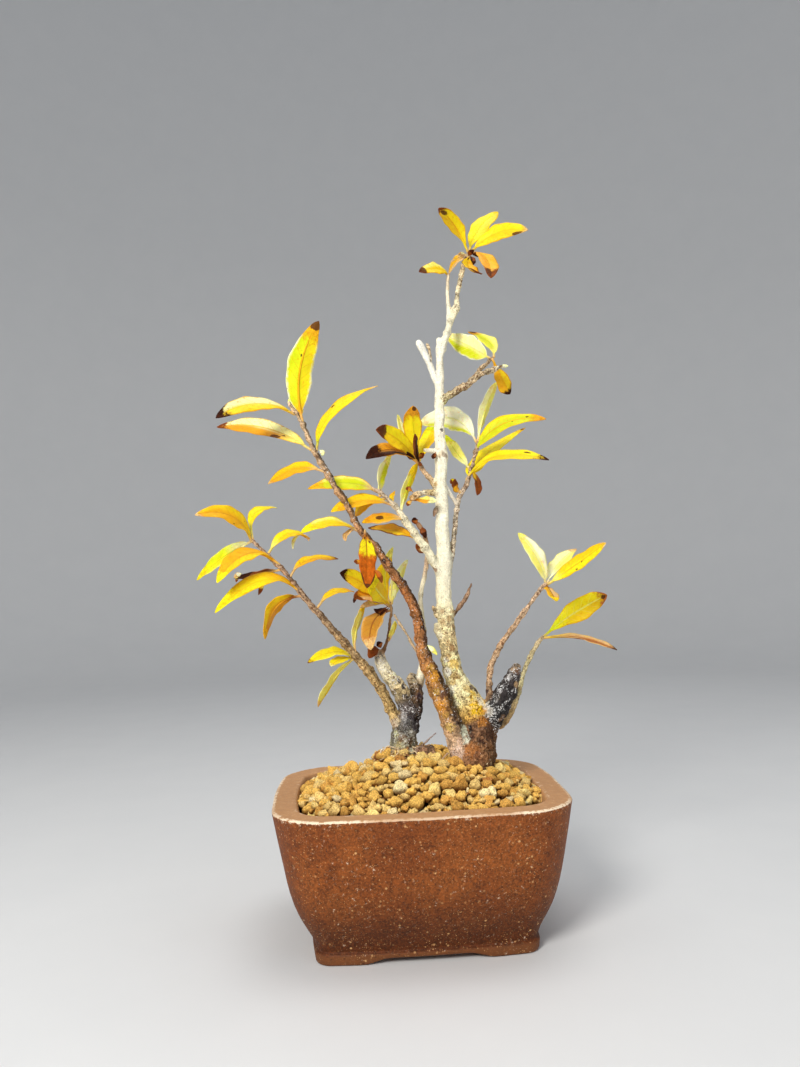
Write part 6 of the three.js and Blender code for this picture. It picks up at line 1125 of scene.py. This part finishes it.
def leaf_material():
    m = Mat("autumn_leaf")
    p, base, tipc, edgec, ribc = m.mm(), m.attr("Col"), m.attr("Tip"), m.attr("Edge"), m.attr("Rib")
    tip, spot, edge = m.split(m.attr("Mask"))
    lx, ly, _ = m.xyz(m.attr("leaf", "Vector"))  # along and across, 0 to 1 and -1 to 1
    away = m.math("ABSOLUTE", ly)
    rag = m.noise(p, 0.62, 5, 0.68)
    soft = m.noise(p, 0.22, 3, 0.5)
    fine = m.noise(p, 2.2, 3, 0.6)
    c = m.gain(base, m.smooth(soft, 0.3, 0.7, 0.93, 1.05))
    warm = m.mix(1.0, c, (0.96, 0.62, 0.50), "MULTIPLY")
    c = m.mix(m.smooth(rag, 0.52, 0.72, 0.0, 0.6), c, warm)
    # side veins
    w = m.math("SUBTRACT", m.math("MULTIPLY", lx, 9.0), m.math("MULTIPLY", away, 1.25))
    saw = m.math("ABSOLUTE", m.math("SUBTRACT", m.math("FRACT", w), 0.5))
    vein = m.math("MULTIPLY", m.smooth(saw, 0.10, 0.02), m.smooth(away, 0.95, 0.6))
    c = m.mix(m.math("MULTIPLY", vein, 0.28), c, ribc)
    rib = m.smooth(away, 0.11, 0.035)
    c = m.mix(m.math("MULTIPLY", rib, 0.75), c, ribc)
    e = m.smooth(m.math("ADD", edge, m.math("MULTIPLY", m.math("SUBTRACT", rag, 0.5), 0.9)), 0.30, 0.74)
    c = m.mix(m.math("MULTIPLY", e, 0.92), c, edgec)
    t = m.math("ADD", tip, m.math("MULTIPLY", m.math("SUBTRACT", rag, 0.5), 1.5))
    half = m.mix(0.5, c, m.node("VectorMath", {0: tipc, 1: (0.80, 0.42, 0.25)}, operation="MULTIPLY").outputs[0])
    c = m.mix(m.smooth(t, 0.12, 0.42, 0.0, 0.8), c, half)
    c = m.mix(m.smooth(t, 0.40, 0.66), c, m.gain(tipc, m.smooth(m.noise(p, 0.55, 4, 0.7), 0.34, 0.68, 0.72, 1.22)))
    s = m.math("ADD", spot, m.math("MULTIPLY", m.math("SUBTRACT", rag, 0.5), 0.6))
    c = m.mix(m.smooth(s, 0.46, 0.60, 0.0, 0.92), c, (0.085, 0.026, 0.010))
    d, r = m.cells(p, 0.55)
    pick, _, _ = m.split(r)
    dots = m.math("MULTIPLY", m.math("LESS_THAN", pick, 0.10), m.smooth(d, 0.17, 0.10))
    c = m.mix(m.math("MULTIPLY", dots, 0.65), c, (0.35, 0.13, 0.03))
    h = m.math("SUBTRACT", m.math("MULTIPLY", fine, 0.25), m.math("MULTIPLY", vein, 0.8))
    h = m.math("SUBTRACT", h, rib)
    rough = m.smooth(m.math("MAXIMUM", t, s), 0.44, 0.6, 0.42, 0.75)
    return m.finish(c, rough, m.bump(h, 0.5, 0.16), Specular_IOR_Level=0.10, Subsurface_Weight=0.25, Subsurface_Radius=(1.0, 0.55, 0.10), Subsurface_Scale=0.0012)


LEAF_KEYS = ("Col", "Tip", "Edge", "Rib", "Mask", "leaf")


def add_blade(s, base, mid, tip, width, across, fold_side, peak, colours, spots, seed, small=False):
    rng = np.random.default_rng(seed)
    b, m, t = (np.array(q, float) for q in (base, mid, tip))
    ca, cb, cbase, base_share, ctip, tip_at, split_at, cedge, edge_amount, crib = colours
    nu, nv = (14, 5) if small else (38, 13)
    u = np.linspace(0, 1, nu) ** 0.92
    ctrl = 2 * m - (b + t) / 2
    P = ((1 - u) ** 2)[:, None] * b + (2 * u * (1 - u))[:, None] * ctrl + (u * u)[:, None] * t
    T = unit((2 * (1 - u))[:, None] * (ctrl - b) + (2 * u)[:, None] * (t - ctrl))
    length = float(np.linalg.norm(np.diff(P, axis=0), axis=1).sum())
    A = np.tile(np.array(across, float), (nu, 1))
    A = unit(A - (A * T).sum(1)[:, None] * T)
    U = np.cross(A, T) * fold_side
    twist = rng.uniform(-0.22, 0.22) * (u - 0.45) + 0.05 * np.sin(u * 7 + rng.uniform(0, 6))
    A, U = A * np.cos(twist)[:, None] + U * np.sin(twist)[:, None], U * np.cos(twist)[:, None] - A * np.sin(twist)[:, None]
    half = np.maximum(0.16 if small else 0.20, width / 2 * blade_width(u, peak))
    v = np.linspace(-1, 1, nv)
    UU, VV = np.meshgrid(u, v, indexing="ij")
    ph = rng.uniform(0, 6.28, 6)
    margin = 1 + (VV > 0) * 0.055 * np.sin(UU * 15 + ph[0]) + (VV < 0) * 0.055 * np.sin(UU * 13 + ph[1]) + 0.03 * np.sin(UU * 31 + ph[2])
    W = half[:, None] * margin
    fold = rng.uniform(0.17, 0.30) if not small else 0.3
    H = fold * half[:, None] * np.abs(VV) ** 1.25 - 0.10 * half[:, None] * VV**4
    H += half[:, None] * 0.085 * np.abs(VV) ** 2.2 * (np.sin(UU * 11 + ph[3] + VV * 0.8) + 0.5 * np.sin(UU * 23 + ph[4] + VV * 2))
    if not small:
        vein = np.abs((UU * 9.0 - 1.25 * np.abs(VV)) % 1.0 - 0.5)
        H += 0.10 * (step(vein, 0.0, 0.3) - 0.7) * step(np.abs(VV), 0.98, 0.5) * step(np.abs(VV), 0.0, 0.2) * step(UU, 0.12, 0.25)
        H -= 0.10 * step(np.abs(VV), 0.16, 0.0) * step(UU, 0.98, 0.6)
    X = P[:, None, :] + A[:, None, :] * (W * VV)[..., None] + U[:, None, :] * H[..., None]
    th = (0.30 if not small else 0.26) * (1 - 0.45 * np.abs(VV) ** 3)
    top, bot = X + U[:, None, :] * (th / 2)[..., None], X - U[:, None, :] * (th / 2)[..., None]
    idx = np.arange(nu * nv).reshape(nu, nv)
    q = np.stack([idx[:-1, :-1], idx[1:, :-1], idx[1:, 1:], idx[:-1, 1:]], -1).reshape(-1, 4)
    off = nu * nv
    faces = [tuple(x) for x in q.tolist()] + [tuple(x[::-1]) for x in (q + off).tolist()]
    loop = list(idx[:, 0]) + list(idx[-1, 1:]) + list(idx[:-1, -1][::-1]) + list(idx[0, 1:-1][::-1])
    faces += [(loop[i], loop[i] + off, loop[(i + 1) % len(loop)] + off, loop[(i + 1) % len(loop)]) for i in range(len(loop))]
    if fold_side > 0:
        faces = [f[::-1] for f in faces]
    # colours over the blade
    # the halves: leaf colour with painted light on the lit half and painted shade on the half turned away
    body = lerp(col(cb) * np.ones((*UU.shape, 3)), col(ca) * np.ones((*UU.shape, 3)), step(VV - split_at + 0.10 * np.sin(UU * 9 + ph[5]), -0.22, 0.22))
    body = lerp(col(cbase) * np.ones_like(body), body, step(UU, base_share * 0.45, base_share * 1.5))
    if colours[0] == "bright" and ctip == "dorange":  # the hanging leaf is banded
        body = lerp(np.array((0.52, 0.19, 0.015)) * np.ones_like(body), col("bright") * np.ones_like(body), step(UU, 0.15, 0.24))
    tipf = np.clip(0.44 + (UU - tip_at) / 0.17 + 0.22 * np.abs(VV) ** 2, 0, 1)
    spotf = np.zeros_like(UU)
    for su, sv, ru, rv in spots:
        spotf = np.maximum(spotf, np.clip(1.15 - 0.62 * np.sqrt(((UU - su) / ru) ** 2 + ((VV - sv) / rv) ** 2), 0, 1))
    edgef = np.clip((np.abs(VV) - 0.60) / 0.40, 0, 1) * max(edge_amount, 0.42) * 1.6
    flat = lambda z: np.concatenate([z.reshape(-1, z.shape[-1])] * 2)
    one = lambda c: np.tile(col(c), (2 * nu * nv, 1))
    s.add(
        np.concatenate([top.reshape(-1, 3), bot.reshape(-1, 3)]),
        faces,
        Col=np.clip(flat(body), 0, 0.98),
        Tip=one(ctip),
        Edge=one(cedge),
        Rib=one(crib),
        Mask=flat(np.stack([tipf, spotf, edgef], -1)),
        leaf=flat(np.stack([UU, VV, UU * 0 + length], -1)),
    )
    if small:
        return
    # leaf stalk and the raised midrib under the blade, one tapering rod
    k = 15
    uu = np.linspace(-0.02, 0.80, k)
    pc = np.stack([np.interp(np.maximum(uu, 0), u, P[:, j]) for j in range(3)], 1) + np.minimum(uu, 0)[:, None] * length * T[0]
    un = unit(np.stack([np.interp(uu, u, U[:, j]) for j in range(3)], 1))
    rr = 0.56 * (1 - np.clip(uu, 0, 1)) ** 1.3 + 0.08
    pc = pc - un * (0.10 + rr * 0.45)[:, None]
    tv, tf = tube(pc, rr, 7, 0.4)
    near = np.linalg.norm(tv[:, None] - pc[None], axis=2).argmin(1)
    ut = np.clip(uu[near], 0, 1)
    cc = lerp(col(cbase) * np.ones((len(tv), 3)), col(crib) * np.ones((len(tv), 3)), step(ut, 0.1, 0.45))
    cc = lerp(col("tan") * np.ones_like(cc), cc, step(ut, 0.0, 0.08))
    n = len(tv)
    s.add(tv, tf, Col=cc, Tip=np.tile(col(ctip), (n, 1)), Edge=np.tile(col(crib), (n, 1)), Rib=np.tile(col(crib), (n, 1)), Mask=np.stack([np.clip(0.5 + (ut - tip_at) / 0.16, 0, 1), ut * 0, ut * 0], 1), leaf=np.stack([ut, ut * 0 + 0.3, ut * 0 + length], 1))


def make_leaves():
    mat = leaf_material()
    groups = {}
    for key, row in LEAVES.items():
        groups.setdefault(row[0], []).append((key, row))
    for node, items in sorted(groups.items()):
        s = Shape(*LEAF_KEYS)
        for key, (_, b, m, t, w, a, fs, pk, colours, spots) in items:
            add_blade(s, b, m, t, w, a, fs, pk, colours, spots, sum(ord(ch) * (i + 3) for i, ch in enumerate(key)))
        o = s.make(("buds_of_" if not node.startswith("leaf") else "") + node + "_blade", mat)
        if node.startswith("leaf"):
            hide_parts(node)
    s = Shape(*LEAF_KEYS)
    for i, (key, (b, m, t, w, a, ca, cb, ct)) in enumerate(SCRAPS.items()):
        add_blade(s, b, m, t, w, a, 1, 0.5, (ca, cb, ca, 0.2, ct, 0.62, 0.0, ct, 0.3, cb), [], 900 + i, small=True)
    o = s.make("dry_scraps_and_bud_scales", mat)


# ---------------------------------------------------------------- drain mesh and clip keep their CAD shape
def finish_drain():
    m = Mat("drain_mesh_plastic")
    p = m.mm()
    n = m.noise(p, 0.9, 4)
    mesh_mat = m.finish(m.mix(n, (0.018, 0.022, 0.019), (0.045, 0.050, 0.044)), m.smooth(n, 0.3, 0.7, 0.45, 0.65), m.bump(m.noise(p, 2.5, 2), 0.25, 0.1))
    m = Mat("clip_wire_metal")
    p = m.mm()
    n = m.noise(p, 1.2, 3)
    wire_mat = m.finish(m.mix(n, (0.42, 0.30, 0.20), (0.52, 0.42, 0.32)), m.smooth(n, 0.3, 0.7, 0.32, 0.5), m.bump(n, 0.2, 0.05), Metallic=1.0)
    for name, mat in (("drain_mesh", mesh_mat), ("drain_mesh_clip", wire_mat)):
        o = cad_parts[name]
        o.data.materials.clear()
        o.data.materials.append(mat)


# ---------------------------------------------------------------- everything
make_camera()
make_stage()
make_pot()

STEMS = [(LIMBS["L_trunk"][1], 1.0), (LIMBS["R_base"][1], 1.0), (LIMBS["B"][1][:4], 1.0)]


def stems(z):
    """Where the stems pass through the height z: x, y and radius."""
    got = [(3.4, 0.2, 4.4)] if z > 66 else []
    for stations, k in STEMS:
        s = sorted(stations, key=lambda q: q[2])
        zs = [q[2] for q in s]
        got.append(tuple(float(np.interp(z, zs, [q[j] for q in s])) for j in (0, 1, 3)))
    return got


make_soil(stems)
bark = wood_material()
make_wood("R", "right_clump_wood", "right_clump", 0.44, bark)
make_wood("L", "left_clump_wood", "left_clump", 0.34, bark)
make_wood("D", "dead_stump_wood", "dead_stump", 0.28, bark)
make_roots(bark)
make_leaves()
finish_drain()
